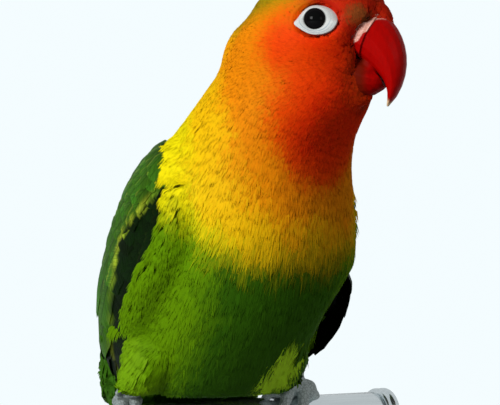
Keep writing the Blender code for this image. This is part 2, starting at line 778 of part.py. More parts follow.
def build_stand():
    """A flat round base and two short rods up to the rail."""
    profile = (
        (BASE_RADIUS, 0),
        (BASE_RADIUS, BASE_THICKNESS - BASE_BEVEL),
        (BASE_RADIUS - BASE_BEVEL * 0.3, BASE_THICKNESS - BASE_BEVEL * 0.3),
        (BASE_RADIUS - BASE_BEVEL, BASE_THICKNESS),
    )
    turned("stand_base", profile, "Z", (0, 0, 0), colour(*BASE_PAINT), segments=36)
    for name, side in (("left", 1), ("right", -1)):
        rod = turned(
            f"stand_rod_{name}",
            ((ROD_RADIUS, BASE_THICKNESS + GAP), (ROD_RADIUS, RAIL_TOP - RAIL_RADIUS)),
            "Z",
            (side * ROD_OFFSET, 0, 0),
            colour(*STEEL),
            segments=16,
        )
        combine(rod, rail_cylinder(f"rail room at rod {name}", GAP), "DIFFERENCE")


def clear_scene():
    for thing in list(bpy.data.objects):
        bpy.data.objects.remove(thing)


def main():
    clear_scene()
    build_stand()
    build_rail()
    trunk, neck, head = build_flesh()
    build_bill(head)
    trunk_room = loft("trunk room", body_rings(TAIL_CUT - 0.05, NAMES.index("neck") + 0.5, GAP))
    combine(trunk, rail_cylinder("rail room in trunk", 0.6), "DIFFERENCE")
    build_tail()
    for name, side in (("left", 1), ("right", -1)):
        build_eye(name, side, head)
        wing = build_wing(name, side, trunk_room)
        thigh = loft(f"thigh_{name}", thigh_rings(name), colour(*GREEN))
        rooms = (
            loft(f"thigh room {name}", thigh_rings(name, SLANT_GAP)),
            foot_room(name),
            loft(f"shank room {name}", shank_rings(name, GAP)),
        )
        for thing in (trunk, *wing):
            for room in rooms:
                combine(thing, room, "DIFFERENCE")
        build_foot(name)
        combine(thigh, rail_cylinder(f"rail room at thigh {name}", GAP), "DIFFERENCE")
    as_cutter(trunk_room)


main()
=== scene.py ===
"""A perched Fischer's lovebird on a short rail and a plain stand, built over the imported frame."""

import functools
import math

import bmesh
import bpy
import numpy as np
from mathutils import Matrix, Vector, kdtree
from mathutils.bvhtree import BVHTree


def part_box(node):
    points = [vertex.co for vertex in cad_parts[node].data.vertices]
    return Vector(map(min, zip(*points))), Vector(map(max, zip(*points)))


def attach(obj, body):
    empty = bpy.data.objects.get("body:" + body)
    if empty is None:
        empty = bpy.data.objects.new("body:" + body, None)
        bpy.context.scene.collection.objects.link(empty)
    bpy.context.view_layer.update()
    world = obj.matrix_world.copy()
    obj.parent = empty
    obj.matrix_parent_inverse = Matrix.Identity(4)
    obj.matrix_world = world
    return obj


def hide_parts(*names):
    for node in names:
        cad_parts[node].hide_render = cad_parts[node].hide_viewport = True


bl_info = {
    "name": "Perched Lovebird",
    "version": (1, 0, 0),
    "blender": (4, 5, 0),
    "location": "View3D > Sidebar > Lovebird",
    "description": "Builds a lovebird's skin, plumage, bill, eyes and feet over its packed solids",
    "category": "Object",
}

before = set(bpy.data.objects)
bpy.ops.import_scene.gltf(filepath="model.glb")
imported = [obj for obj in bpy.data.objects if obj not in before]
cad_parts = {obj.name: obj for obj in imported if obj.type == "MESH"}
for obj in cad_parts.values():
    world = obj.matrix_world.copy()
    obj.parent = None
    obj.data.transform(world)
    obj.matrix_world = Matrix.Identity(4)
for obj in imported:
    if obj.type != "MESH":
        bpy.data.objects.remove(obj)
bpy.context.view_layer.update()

MM = 0.001
SIDES = {"left": 1.0, "right": -1.0}
FLESH = ("head", "neck", "trunk", "thigh_left", "thigh_right", "wing_left", "wing_right", "tail")
FLIGHT_NODES = ("wing_left", "wing_right", "primaries_left", "primaries_right")
EYE_RINGS = ("eye_ring_left", "eye_ring_right")
ORIGIN = (0.0, 0.0, 0.0)

NOSTRIL_SHADE = (0.04, 0.015, 0.01)
GAPE_SHADE = (0.26, 0.018, 0.001)
# Painted shade at the rear of the lower bill, where it goes in under the cheek feathers.
BILL_REAR_SHADE = (0.13, 0.006, 0.001)
PUPIL = (0.002, 0.002, 0.002)
EYE_EDGE = (0.004, 0.003, 0.003)
LID = (0.02, 0.018, 0.02)
# Painted shade: a grey that darkens the right foot.
RIGHT_FOOT_SHADE = (0.45, 0.46, 0.46)

# Kinds of vane, as the vane material reads them.
COVERT, SECONDARY, PRIMARY, TAIL_FEATHER = 0.0, 0.8, 1.0, 2.0

# In millimetres: the skin's growth before it is drawn in, a toe's middle from the rail's middle, and the
# radius that closes the end of a turned piece.
SKIN_GROWTH = 0.42
TOE_REACH = 7.0
CLOSED = 0.02
# The point that the camera faces, in millimetres, with its height above the rail's top.
AIM = (7.45, -4.3, 39.6)
# In metres.
FLOOR_RADIUS = 0.62
# Most triangles in one piece of the coat.
MOST_TRIANGLES = 150000
# Width and length of one tuft and of one vane in the bake map.
TUFT_PATCH = (0.0014, 0.0028)
VANE_PATCH = (0.0015, 0.003)


def middle(node):
    """Centre of a CAD node's box, in millimetres."""
    low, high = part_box(node)
    return np.array((low + high) / 2) / MM


def box_of(node):
    """Lowest and highest corners of a CAD node's box, in millimetres."""
    low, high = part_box(node)
    return np.array(low) / MM, np.array(high) / MM


UP = np.array((0.0, 0.0, 1.0))
HEAD = middle("head")
BILL_BASE = middle("cere")
NECK = middle("neck")
RAIL = middle("perch_rail")
TAIL_LOW, TAIL_HIGH = box_of("tail")
TAIL_ROOT = np.array((0.0, TAIL_LOW[1], TAIL_HIGH[2]))
TAIL_TIP = np.array((0.0, TAIL_HIGH[1], TAIL_LOW[2] + 2.0))
EYES = {side: middle(f"eye_{side}") for side in SIDES}
HEAD_LEFT = EYES["left"] - EYES["right"]
HEAD_LEFT /= np.linalg.norm(HEAD_LEFT)
RAIL_TOP = RAIL[2] + 5.0
BELLY_FLOOR = RAIL_TOP + 2.0
LEFT_THIGH = np.array((8.2, -16.0, RAIL_TOP + 10.0))
RIGHT_THIGH = np.array((-20.5, -10.0, RAIL_TOP + 9.0))
HEADING = np.cross(HEAD_LEFT, UP)
HEAD_ORIGIN = (EYES["left"] + EYES["right"]) / 2 - 3.0 * HEADING - 1.7 * UP


def in_head(ahead, left, up):
    """A place in the head's own frame, in millimetres ahead of its middle, to its left and up."""
    return HEAD_ORIGIN + HEADING * ahead + HEAD_LEFT * left + UP * up


# ---------------------------------------------------------------- sizes and colours


def colour_of(name, value, words):
    """A colour setting shown in the panel."""
    return bpy.props.FloatVectorProperty(
        name=name, description=words, subtype="COLOR", size=3, min=0, max=1, default=value
    )


def length_of(name, value, words):
    """A length setting in metres, given here in millimetres."""
    return bpy.props.FloatProperty(
        name=name, description=words, subtype="DISTANCE", unit="LENGTH", precision=5, default=value * MM
    )


def number_of(name, value, words):
    """A plain number setting."""
    return bpy.props.FloatProperty(name=name, description=words, default=value)


class LovebirdPlumageColours(bpy.types.PropertyGroup):
    """Colours of the feathering, shared by the skin and the coat."""

    face: colour_of("Face", (0.92, 0.034, 0.001), "Cheeks and throat")
    cheek: colour_of("Cheek", (0.88, 0.072, 0.001), "Orange-red behind the cheeks")
    # Darker than the face's red: painted shade on the forehead.
    forehead: colour_of("Forehead", (0.62, 0.022, 0.004), "Forehead just above the bill")
    crown: colour_of("Crown", (0.36, 0.24, 0.003), "Crown behind the eyes")
    lores: colour_of("Lores", (0.34, 0.078, 0.015), "Patch between eye and bill")
    collar_orange: colour_of("Collar orange", (0.88, 0.26, 0.002), "Upper collar, where red turns to yellow")
    collar_amber: colour_of("Collar amber", (0.94, 0.55, 0.003), "Middle of the collar")
    collar_yellow: colour_of("Collar yellow", (0.94, 0.80, 0.003), "Collar and upper breast")
    flank: colour_of("Flank", (0.13, 0.29, 0.001), "Yellow-green sides of the belly")
    belly: colour_of("Belly", (0.030, 0.105, 0.002), "Middle of the belly")
    # Paler than the feathers' own yellow-green: partly painted light where the left thigh catches the light.
    thigh: colour_of("Thigh", (0.56, 0.95, 0.03), "Hair-like feathers of the thighs")
    back: colour_of("Back", (0.05, 0.16, 0.010), "Mantle and back")
    rump: colour_of("Rump", (0.05, 0.07, 0.30), "Rump and upper tail coverts")
    wing: colour_of("Wing", (0.045, 0.150, 0.007), "Wing coverts")
    wing_edge: colour_of("Wing edge", (0.30, 0.40, 0.03), "Pale edges of the outer wing feathers")
    wing_line: colour_of("Wing line", (0.42, 0.52, 0.03), "Bright line along the folded wing")
    flight_edge: colour_of("Flight edge", (0.13, 0.13, 0.045), "Worn olive edges of the long wing feathers")
    flight: colour_of("Flight", (0.001, 0.006, 0.0005), "Long wing feathers")
    tail_patch: colour_of("Tail patch", (0.60, 0.14, 0.01), "Orange patch in the tail")
    tail_end: colour_of("Tail end", (0.03, 0.16, 0.12), "Blue-green end of the tail")


class LovebirdSoftColours(bpy.types.PropertyGroup):
    """Colours of the bill, the bare skin, the eyes and the feet."""

    bill: colour_of("Bill", (0.44, 0.001, 0.0003), "Red horn of the bill")
    bill_tip: colour_of("Bill tip", (0.85, 0.62, 0.36), "Pale horn at the tip")
    cere: colour_of("Cere", (0.82, 0.48, 0.40), "Soft skin over the bill")
    eye_ring: colour_of("Eye ring", (0.68, 0.71, 0.69), "Bare skin round the eye")
    eye_ring_fold: colour_of("Eye ring fold", (0.24, 0.34, 0.42), "Shade in the folds of the ring")
    iris: colour_of("Iris", (0.0012, 0.0006, 0.001), "Dark brown iris")
    foot: colour_of("Foot", (0.62, 0.72, 0.70), "Scaled skin of the foot")
    foot_scale: colour_of("Foot scale", (0.70, 0.78, 0.77), "Worn edges of the scales")
    claw: colour_of("Claw", (0.035, 0.032, 0.03), "Dark horn of the claws")


class LovebirdMetalColours(bpy.types.PropertyGroup):
    """Colours of the rail and of the stand."""

    rail: colour_of("Rail", (0.92, 0.95, 0.96), "Polished steel of the rail")
    rail_lines: colour_of("Rail lines", (0.62, 0.68, 0.70), "Fine lines along the rail")
    rod: colour_of("Rod", (0.68, 0.69, 0.70), "Brushed steel of the rods")
    rod_lines: colour_of("Rod lines", (0.50, 0.51, 0.52), "Fine lines along the rods")
    paint: colour_of("Paint", (0.66, 0.66, 0.65), "Grey paint of the disc")
    paint_mottle: colour_of("Paint mottle", (0.58, 0.58, 0.57), "Darker specks in the paint")


class LovebirdSizes(bpy.types.PropertyGroup):
    """Depths of the coat and the steps of its meshes."""

    coat_body: length_of("Body coat", 1.35, "Depth of the coat over the skin on the body")
    coat_face: length_of("Face coat", 0.6, "Depth of the coat over the skin on the face")
    skin_step: length_of("Skin step", 0.75, "Mesh step of the skin")
    bill_step: length_of("Bill step", 0.16, "Mesh step of the bill")
    foot_step: length_of("Foot step", 0.2, "Mesh step of the feet")
    scale_pitch: length_of("Scale pitch", 1.05, "Distance between the scales across a toe")
    seed: bpy.props.IntProperty(name="Seed", description="Start of the random sequence", default=11, min=0)


class LovebirdStudio(bpy.types.PropertyGroup):
    """The stage: floor, light and camera."""

    floor: colour_of("Floor", (0.80, 0.83, 0.84), "Pale studio floor")
    sky: colour_of("Sky", (0.905, 0.978, 1.0), "Pale surroundings")
    lens: number_of("Lens", 155.9, "Focal length in mm on a 36 mm sensor")
    distance: length_of("Distance", 433, "From the camera to the bird")
    swing: bpy.props.FloatProperty(
        name="Swing", description="Camera's turn about the bird", subtype="ANGLE", default=math.radians(-30)
    )
    key: number_of("Key light", 5.0, "Power of the key light in watts")
    fill: number_of("Fill light", 0.45, "Power of the fill light in watts")
    around: number_of("Surroundings", 0.23, "Strength of the light all round")


# ---------------------------------------------------------------- meshes


def grid_of(mesh, attribute):
    """A mesh's places or normals as one array."""
    values = np.empty(len(mesh.vertices) * 3, np.float32)
    mesh.vertices.foreach_get(attribute, values)
    return values.reshape(-1, 3).astype(float)


def welded(nodes, grow):
    """These CAD nodes in one mesh in millimetres, each one swollen by grow."""
    joined = bmesh.new()
    for node in nodes:
        part = bmesh.new()
        part.from_mesh(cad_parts[node].data)
        bmesh.ops.remove_doubles(part, verts=part.verts, dist=2e-6)
        bmesh.ops.scale(part, vec=(1 / MM,) * 3, verts=part.verts)
        part.normal_update()
        for vertex in part.verts:
            vertex.co += vertex.normal * grow
        spare = bpy.data.meshes.new("spare")
        part.to_mesh(spare)
        part.free()
        joined.from_mesh(spare)
        bpy.data.meshes.remove(spare)
    mesh = bpy.data.meshes.new("welded")
    joined.to_mesh(mesh)
    joined.free()
    return mesh


def flank_pads():
    """The loose feathers of the right flank, which cover the lower edge of the folded wing."""
    # Height above the rail, place across and along the bird, and radius.
    knots = np.array((
        (9.0, -17.4, -0.2, 4.0),
        (13.0, -18.0, -3.2, 4.5),
        (17.0, -18.5, -7.2, 4.8),
        (21.0, -19.4, -10.8, 5.0),
        (25.0, -19.4, -14.8, 5.0),
        (29.0, -19.1, -18.4, 4.8),
        (33.0, -18.7, -21.2, 4.4),
        (37.0, -18.6, -22.2, 4.2),
        (41.0, -18.3, -22.6, 3.8),
    )).T
    up = np.linspace(41, 9, 20)
    rows = zip(up, *(np.interp(up, knots[0], column) for column in knots[1:]))
    return [(np.array((x, y, RAIL_TOP + z)), (radius,) * 3) for z, x, y, radius in rows]


def add_pad(mesh, centre, radii):
    """Adds an egg-shaped swelling to a mesh, with its radii along the head's heading, across it and up."""
    bm = bmesh.new()
    bm.from_mesh(mesh)
    made = bmesh.ops.create_icosphere(bm, subdivisions=3, radius=1.0)
    for vertex in made["verts"]:
        x, y, z = vertex.co
        vertex.co = centre + HEADING * x * radii[0] + HEAD_LEFT * y * radii[1] + UP * z * radii[2]
    bm.to_mesh(mesh)
    bm.free()


def remeshed(nodes, step, rounds, grow=0.0, pads=()):
    """One even closed mesh round these CAD nodes and pads, in millimetres: points, normals and quads."""
    mesh = welded(nodes, grow)
    for centre, radii in pads:
        add_pad(mesh, centre, radii)
    work = bpy.data.objects.new("work", mesh)
    bpy.context.scene.collection.objects.link(work)
    even = work.modifiers.new("even", "REMESH")
    even.mode = "VOXEL"
    even.voxel_size = step
    soften = work.modifiers.new("soften", "SMOOTH")
    soften.iterations = rounds
    soften.factor = 0.5
    depsgraph = bpy.context.evaluated_depsgraph_get()
    mesh = bpy.data.meshes.new_from_object(work.evaluated_get(depsgraph))
    points, normals = grid_of(mesh, "co"), grid_of(mesh, "normal")
    faces = np.array([tuple(polygon.vertices) for polygon in mesh.polygons], int)
    bpy.data.objects.remove(work)
    bpy.data.meshes.remove(mesh)
    return points, normals, faces


def node_tree(*nodes):
    """A search tree over CAD nodes, in millimetres."""
    mesh = welded(nodes, 0.0)
    points = grid_of(mesh, "co")
    faces = [tuple(polygon.vertices) for polygon in mesh.polygons]
    bpy.data.meshes.remove(mesh)
    return BVHTree.FromPolygons(points.tolist(), faces)


def add_piece(name, points, faces, material, replaced=(), values=None, normals=None, places=None):
    """A mesh piece from arrays in millimetres, riding on the bird."""
    faces = np.asarray(faces, np.int32)
    corners = faces.shape[1]
    mesh = bpy.data.meshes.new(name)
    mesh.vertices.add(len(points))
    mesh.vertices.foreach_set("co", (np.asarray(points) * MM).astype(np.float32).ravel())
    mesh.loops.add(faces.size)
    mesh.loops.foreach_set("vertex_index", faces.ravel())
    mesh.polygons.add(len(faces))
    mesh.polygons.foreach_set("loop_start", np.arange(0, faces.size, corners, dtype=np.int32))
    mesh.polygons.foreach_set("use_smooth", np.ones(len(faces), bool))
    mesh.update(calc_edges=True)
    mesh.materials.append(material)
    for key, value in (values or {}).items():
        value = np.asarray(value, np.float32)
        kind = "FLOAT_VECTOR" if value.ndim == 2 else "FLOAT"
        layer = mesh.attributes.new(key, kind, "POINT")
        layer.data.foreach_set("vector" if value.ndim == 2 else "value", value.ravel())
    if places is not None:
        layer = mesh.uv_layers.new(name="OFBake")
        layer.uv.foreach_set("vector", places[faces.ravel()].astype(np.float32).ravel())
    if normals is not None:
        mesh.normals_split_custom_set_from_vertices(normals.astype(np.float32))
    piece = bpy.data.objects.new(name, mesh)
    bpy.context.scene.collection.objects.link(piece)
    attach(piece, "root")
    if replaced:
        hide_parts(*replaced)
    return piece


def lathe(profile, axis, start, segments=96):
    """A turned shape: (distance along the axis, radius) pairs in millimetres, from end to end."""
    axis = np.array(axis, float)
    across = np.cross(axis, (0.3, 0.5, 0.8))
    across /= np.linalg.norm(across)
    other = np.cross(axis, across)
    angles = np.linspace(0, 2 * math.pi, segments, endpoint=False)
    circle = np.cos(angles)[:, None] * across + np.sin(angles)[:, None] * other
    rings = [np.array(start) + axis * along + circle * radius for along, radius in profile]
    return np.concatenate(rings), band_faces(len(rings), segments)


def band_faces(rings, segments, closed=False):
    """Quads between closed rings of points, and where asked between the last ring and the first."""
    start = np.arange(rings if closed else rings - 1)[:, None] * segments
    onward = (start + segments) % (rings * segments)
    here = np.arange(segments)
    after = (here + 1) % segments
    return np.stack([start + here, start + after, onward + after, onward + here], 2).reshape(-1, 4)


def unit(vectors):
    """Vectors of length one."""
    return vectors / np.maximum(np.linalg.norm(vectors, axis=-1, keepdims=True), 1e-9)


def norms(vectors):
    """The length of each vector."""
    return np.linalg.norm(vectors, axis=-1)


def path_length(points):
    """The length of a path through these points."""
    return float(norms(np.diff(points, axis=0)).sum())


def across_of(vectors, normals):
    """Vectors without their share along the normals."""
    return vectors - normals * (vectors * normals).sum(1)[:, None]


def smooth_step(low, high, value):
    """0 below low, 1 above high and an easy slope between."""
    x = np.clip((value - low) / (high - low), 0, 1)
    return x * x * (3 - 2 * x)


def snapped(skin, points):
    """Nearest places on the skin, and the smooth normals there."""
    found = [skin.tree.find_nearest(point) for point in points.tolist()]
    faces = [face for _, _, face, _ in found]
    return np.array([place for place, *_ in found], float), unit(skin.normals[faces])


def distances(tree, points, reach=6.0):
    """How far points are from a surface, up to reach."""
    found = [tree.find_nearest(point, reach)[3] for point in points.tolist()]
    return np.array([reach if value is None else value for value in found])


# ---------------------------------------------------------------- shader nodes


class Signal:
    """A node's output: a number, colour, place or shader. Arithmetic with it adds math nodes."""

    def __init__(self, socket):
        self.socket = socket
        self.tree = socket.id_data

    def __add__(self, other):
        return calculated("ADD", self, other)

    def __radd__(self, other):
        return calculated("ADD", other, self)

    def __sub__(self, other):
        return calculated("SUBTRACT", self, other)

    def __rsub__(self, other):
        return calculated("SUBTRACT", other, self)

    def __mul__(self, other):
        return calculated("MULTIPLY", self, other)

    def __abs__(self):
        return calculated("ABSOLUTE", self)

    def at_least(self, limit):
        return calculated("MAXIMUM", self, limit)

    def at_most(self, limit):
        return calculated("MINIMUM", self, limit)

    def root(self):
        return calculated("SQRT", self)


def feed(socket, value):
    """Gives a node's socket a signal, a number, a place or a colour."""
    if isinstance(value, Signal):
        value.tree.links.new(value.socket, socket)
    elif socket.type == "RGBA":
        socket.default_value = (*value, 1)
    else:
        socket.default_value = value


def added(tree, kind, feeds, output, **settings):
    """A new shader node with its settings made and its sockets fed: the output that is used."""
    node = tree.nodes.new(f"ShaderNode{kind}")
    for name, value in settings.items():
        setattr(node, name, value)
    for socket, value in feeds.items():
        feed(node.inputs[socket], value)
    return Signal(node.outputs[output])


def tree_with(values):
    """The node tree that these values belong to, where at least one of them is a signal."""
    return next(value.tree for value in values if isinstance(value, Signal))


def calculated(operation, *values):
    """A math node's result from signals and numbers."""
    return added(tree_with(values), "Math", dict(enumerate(values)), 0, operation=operation)


def slope(value, low, high):
    """A mask that rises smoothly from 0 at low to 1 at high."""
    feeds = {"Value": value, "From Min": low, "From Max": high}
    return added(value.tree, "MapRange", feeds, "Result", interpolation_type="SMOOTHSTEP")


def fade(value, low, high):
    """A mask that falls smoothly from 1 at low to 0 at high."""
    return 1.0 - slope(value, low, high)


def mix(mask, under, over, blend="MIX"):
    """A mix of two colours or signals by a mask."""
    tree = tree_with((mask, under, over))
    return added(tree, "Mix", {0: mask, 6: under, 7: over}, 2, data_type="RGBA", blend_type=blend)


def painted(colour, marks):
    """A colour with others laid over it in turn, each by its mask."""
    for mask, over in marks:
        colour = mix(mask, colour, over)
    return colour


def attribute(tree, name, output="Fac"):
    """A value kept in the mesh."""
    return added(tree, "Attribute", {}, output, attribute_name=name)


def along_line(place, direction, start=ORIGIN):
    """How far a place lies along a direction from start, both in millimetres."""
    feeds = {0: place, 1: tuple(direction)}
    reach = added(place.tree, "VectorMath", feeds, "Value", operation="DOT_PRODUCT")
    return reach - float(np.dot(direction, start))


def distance_to(place, centre):
    """Distance from a centre in millimetres."""
    return added(place.tree, "VectorMath", {0: place, 1: tuple(centre)}, "Value", operation="DISTANCE")


def reach_from(signals, centre):
    """Distance of three measured signals from the place where they have these values."""
    total = 0.0
    for signal, value in zip(signals, centre):
        off = signal - value
        total = off * off + total
    return total.root()


def noise(place, scale, detail=2.0):
    """Noise from 0 to 1."""
    return added(place.tree, "TexNoise", {"Vector": place, "Scale": scale, "Detail": detail}, "Fac")


def stretched(place, scale):
    """A place with each axis scaled, for grain that runs one way."""
    return added(place.tree, "Mapping", {"Vector": place, "Scale": scale}, "Vector")


def millimetres(place):
    """A place in metres turned to millimetres."""
    return added(place.tree, "VectorMath", {0: place, "Scale": 1 / MM}, "Vector", operation="SCALE")


def times(colour, *factors):
    """A plain colour with its channels multiplied by one factor or by three, up to 1."""
    factors = factors if len(factors) == 3 else factors * 3
    return tuple(min(1.0, channel * factor) for channel, factor in zip(colour, factors))


def new_material(name):
    """A node material, its tree and its Principled shader."""
    material = bpy.data.materials.new(name)
    material.use_nodes = True
    return material, material.node_tree, material.node_tree.nodes["Principled BSDF"]


def roughen(tree, shader, height, strength, distance):
    """Bump on a shader from a height, with its distance in millimetres."""
    feeds = {"Strength": strength, "Distance": distance * MM, "Height": height}
    feed(shader.inputs["Normal"], added(tree, "Bump", feeds, "Normal"))


def new_group(name, inputs, outputs):
    """A shader node group with named sockets: the signals that it is given and the sockets it puts out."""
    group = bpy.data.node_groups.new(name, "ShaderNodeTree")
    for label, (kind, value) in inputs.items():
        socket = group.interface.new_socket(label, in_out="INPUT", socket_type=f"NodeSocket{kind}")
        if value is not None:
            socket.default_value = value
    for label, kind in outputs.items():
        group.interface.new_socket(label, in_out="OUTPUT", socket_type=f"NodeSocket{kind}")
    sockets = group.nodes.new("NodeGroupInput").outputs
    given = {label: Signal(sockets[label]) for label in inputs}
    return given, group.nodes.new("NodeGroupOutput").inputs


def place_group(tree, name, **values):
    """A copy of a shared group in a material, fed by keyword: the signals that it puts out."""
    node = tree.nodes.new("ShaderNodeGroup")
    node.node_tree = bpy.data.node_groups[name]
    for label, value in values.items():
        feed(node.inputs[label.replace("_", " ").capitalize()], value)
    return {socket.name: Signal(socket) for socket in node.outputs}


# ---------------------------------------------------------------- materials


def build_plumage_group(colours):
    """The markings that the skin and every tuft share: a colour for each place on the bird."""
    given, made = new_group(
        "plumage markings",
        {"Place": ("Vector", None), "Chance": ("Float", 0.5), "Zone": ("Float", 0.0)},
        {"Colour": "Color"},
    )
    place = given["Place"]
    chance = given["Chance"] - 0.5
    drift = (noise(place, 0.12) - 0.5) * 10.0
    tall = along_line(place, UP)
    back_of = along_line(place, (0, 1, 0))

    # The rise runs from the yellow of the breast up to the red of the face.
    rise = along_line(place, (0.30, -0.953, 0.286)) + (drift + chance * 4.0)
    rise -= (104.0 - tall).at_least(0.0) * 0.4
    rise -= (tall - 129.0).at_least(0.0) * 1.1
    throat = distance_to(place, BILL_BASE - 8.0 * HEADING - 17.0 * UP)
    rise += fade(throat, 4.0, 15.0) * 11.0
    top = along_line(place, 0.95 * UP - 0.25 * HEADING, HEAD)
    brow = along_line(place, 0.75 * HEADING + 0.66 * UP, HEAD)

    # Marks of the face, measured ahead of the head's middle, to either side of it and above it.
    face_side = abs(along_line(place, HEAD_LEFT, HEAD_ORIGIN))
    ahead = along_line(place, HEADING, HEAD_ORIGIN)
    above = along_line(place, UP, HEAD_ORIGIN)
    lore = reach_from((ahead, face_side, above * 1.5), (9.6, 5.6, 2.6))
    lore = lore + chance * 1.6 + (noise(place, 0.9) - 0.5) * 1.6
    nostril = reach_from((ahead, face_side, above), (11.0, 4.2, 1.1))
    gape = reach_from((ahead, face_side, above * 0.5), (9.8, 3.6, -4.4))

    # The green of the belly and the back, and the blue of the rump.
    side = abs(along_line(place, (1, 0, 0))) + drift * 0.4
    fall = tall - (side - 8.0).at_least(0.0) * 0.5
    fall -= (back_of + 22.0).at_least(0.0) * 1.9
    fall = fall + drift * 0.3 + chance * 3.5
    back = along_line(place, (0, 0.82, 0.57), (0.0, 0.0, 92.0))
    green = painted(colours.belly, (
        (slope(side, 9.5, 16.5), colours.flank),
        (slope(back, -4, 5), colours.back),
        (slope(back, 1, 7) * fade(tall, 52, 66), colours.rump),
    ))
    colour = painted(colours.collar_yellow, (
        (slope(rise, 46.5, 55), colours.collar_amber),
        (slope(rise, 55.5, 64.5), colours.collar_orange),
        (slope(rise, 66.5, 77), colours.cheek),
        (slope(rise, 74, 84), colours.face),
        (slope(top, 3.5, 7.9), colours.crown),
        # The forehead's darker red is painted shade.
        (slope(brow, 7.5, 11.5), colours.forehead),
        (fade(lore, 1.2, 3.2), colours.lores),
        (fade(nostril, 0.5, 1.1), NOSTRIL_SHADE),
        (fade(gape, 1.6, 4.6) * 0.85, GAPE_SHADE),
        (fade(fall, 88.5, 99.0), green),
        (slope(given["Zone"], 0.6, 0.9), colours.wing),
    ))

    # The pale patch on each thigh, full on the left and faint on the right: partly the thigh feathers' own
    # yellow-green and partly painted light on the bulging left thigh.
    for centre, strength in ((LEFT_THIGH - (2.2, 0, 0), 1.0), (RIGHT_THIGH, 0.10)):
        across = along_line(place, (1 / 3.0, 0, -0.04), centre)
        upright = along_line(place, (0.02, 0, 1 / 6.6), centre)
        reach = across * across + upright * upright + chance * 0.5
        patch = fade(reach, 0.7, 1.45) * strength * fade(back_of, -8, 0)
        colour = mix(patch, colour, colours.thigh)
    feed(made["Colour"], colour)


def build_variation_group():
    """Small changes of brightness and hue from feather to feather, darker at each root."""
    given, made = new_group(
        "feather variation",
        {
            "Colour": ("Color", None),
            "Chance": ("Float", 0.5),
            "Along": ("Float", 1.0),
            "Amount": ("Float", 0.3),
            "Root shade": ("Float", 0.45),
        },
        {"Colour": "Color"},
    )
    swing = (given["Chance"] - 0.5) * given["Amount"]
    value = 1.0 + swing - (1.0 - given["Along"]) * given["Root shade"]
    feeds = {"Color": given["Colour"], "Value": value, "Hue": 0.5 + swing * 0.03}
    feed(made["Colour"], added(swing.tree, "HueSaturation", feeds, "Color"))


def build_barb_group():
    """Fine slanting barbs on a vane: a mask of stripes and a mask of the shaft."""
    given, made = new_group(
        "vane barbs",
        {
            "Along": ("Float", 0.0),
            "Across": ("Float", 0.0),
            "Length": ("Float", 10.0),
            "Chance": ("Float", 0.5),
        },
        {"Stripe": "Float", "Shaft": "Float"},
    )
    off = abs(given["Across"])
    run = given["Along"] * given["Length"] - off * 2.2
    feeds = {0: run * 3.4, 1: given["Chance"] * 90.0, 2: given["Across"] * 0.8}
    stripes = noise(added(run.tree, "CombineXYZ", feeds, "Vector"), 1.0, 1.5)
    feed(made["Stripe"], slope(stripes, 0.3, 0.7))
    feed(made["Shaft"], fade(off, 0.02, 0.10))


def plumage_material(name):
    """Feathering whose colour comes from each tuft's root."""
    material, tree, shader = new_material(name)
    chance, zone, along = (attribute(tree, label) for label in ("chance", "zone", "along"))
    place = millimetres(attribute(tree, "root", "Vector"))
    marks = place_group(tree, "plumage markings", place=place, chance=chance, zone=zone)
    varied = place_group(
        tree,
        "feather variation",
        colour=marks["Colour"],
        chance=chance,
        along=along,
        amount=0.18,
        root_shade=0.10,
    )
    feed(shader.inputs["Base Color"], varied["Colour"])
    feed(shader.inputs["Roughness"], 0.62)
    feed(shader.inputs["Specular IOR Level"], 0.04)


def vane_material(name, colours):
    """Wing and tail feathers: barbs, a shaft and edges of another colour."""
    material, tree, shader = new_material(name)
    labels = ("chance", "along", "across", "kind", "length", "dark", "line")
    chance, along, across, kind, length, dark, line = (attribute(tree, label) for label in labels)
    barbs = place_group(tree, "vane barbs", along=along, across=across, length=length, chance=chance)
    outer = fade(across, -0.92, -0.55)
    on_wing = fade(kind, 1.4, 1.6)
    green = mix(outer * 0.4, colours.wing, colours.wing_edge)
    flight = mix(outer * 0.8, colours.flight, colours.flight_edge)
    tail = painted(colours.wing, (
        (slope(along, 0.45, 0.6) * fade(along, 0.68, 0.76), colours.tail_patch),
        (slope(along, 0.8, 0.95), colours.tail_end),
        (slope(along, 0.70, 0.77) * fade(along, 0.84, 0.9), colours.flight),
    ))
    colour = painted(green, (
        (slope(kind, 0.35, 0.65), flight),
        # Along the wing's lower edge the flight feathers' near-black is laid over every vane: partly their
        # own colour, partly painted shade between the wing and the belly.
        (dark * on_wing * 0.96, colours.flight),
        (line * on_wing, colours.wing_line),
        (slope(kind, 1.4, 1.6), tail),
    ))
    streaked = {"Color": colour, "Value": 0.72 + barbs["Stripe"] * 0.5}
    shaded = mix(barbs["Shaft"] * 0.5, added(tree, "HueSaturation", streaked, "Color"), colours.flight)
    varied = place_group(
        tree, "feather variation", colour=shaded, chance=chance, along=along, amount=0.5, root_shade=0.5
    )
    feed(shader.inputs["Base Color"], varied["Colour"])
    feed(shader.inputs["Roughness"], 0.5)
    feed(shader.inputs["Specular IOR Level"], 0.03)
    roughen(tree, shader, barbs["Stripe"], 0.5, 0.08)


def soft_material(name, build, roughness, bump=0.0, specular=0.5, metallic=0.0):
    """Bare skin, horn or metal: build gives a colour and a height for a place, with bump in millimetres."""
    material, tree, shader = new_material(name)
    place = millimetres(added(tree, "TexCoord", {}, "Object"))
    colour, height = build(place)
    feed(shader.inputs["Base Color"], colour)
    feed(shader.inputs["Roughness"], roughness)
    feed(shader.inputs["Specular IOR Level"], specular)
    feed(shader.inputs["Metallic"], metallic)
    if height is not None:
        roughen(tree, shader, height, 1.0, bump)
    return material


# ---------------------------------------------------------------- the skin and the lie of its feathers


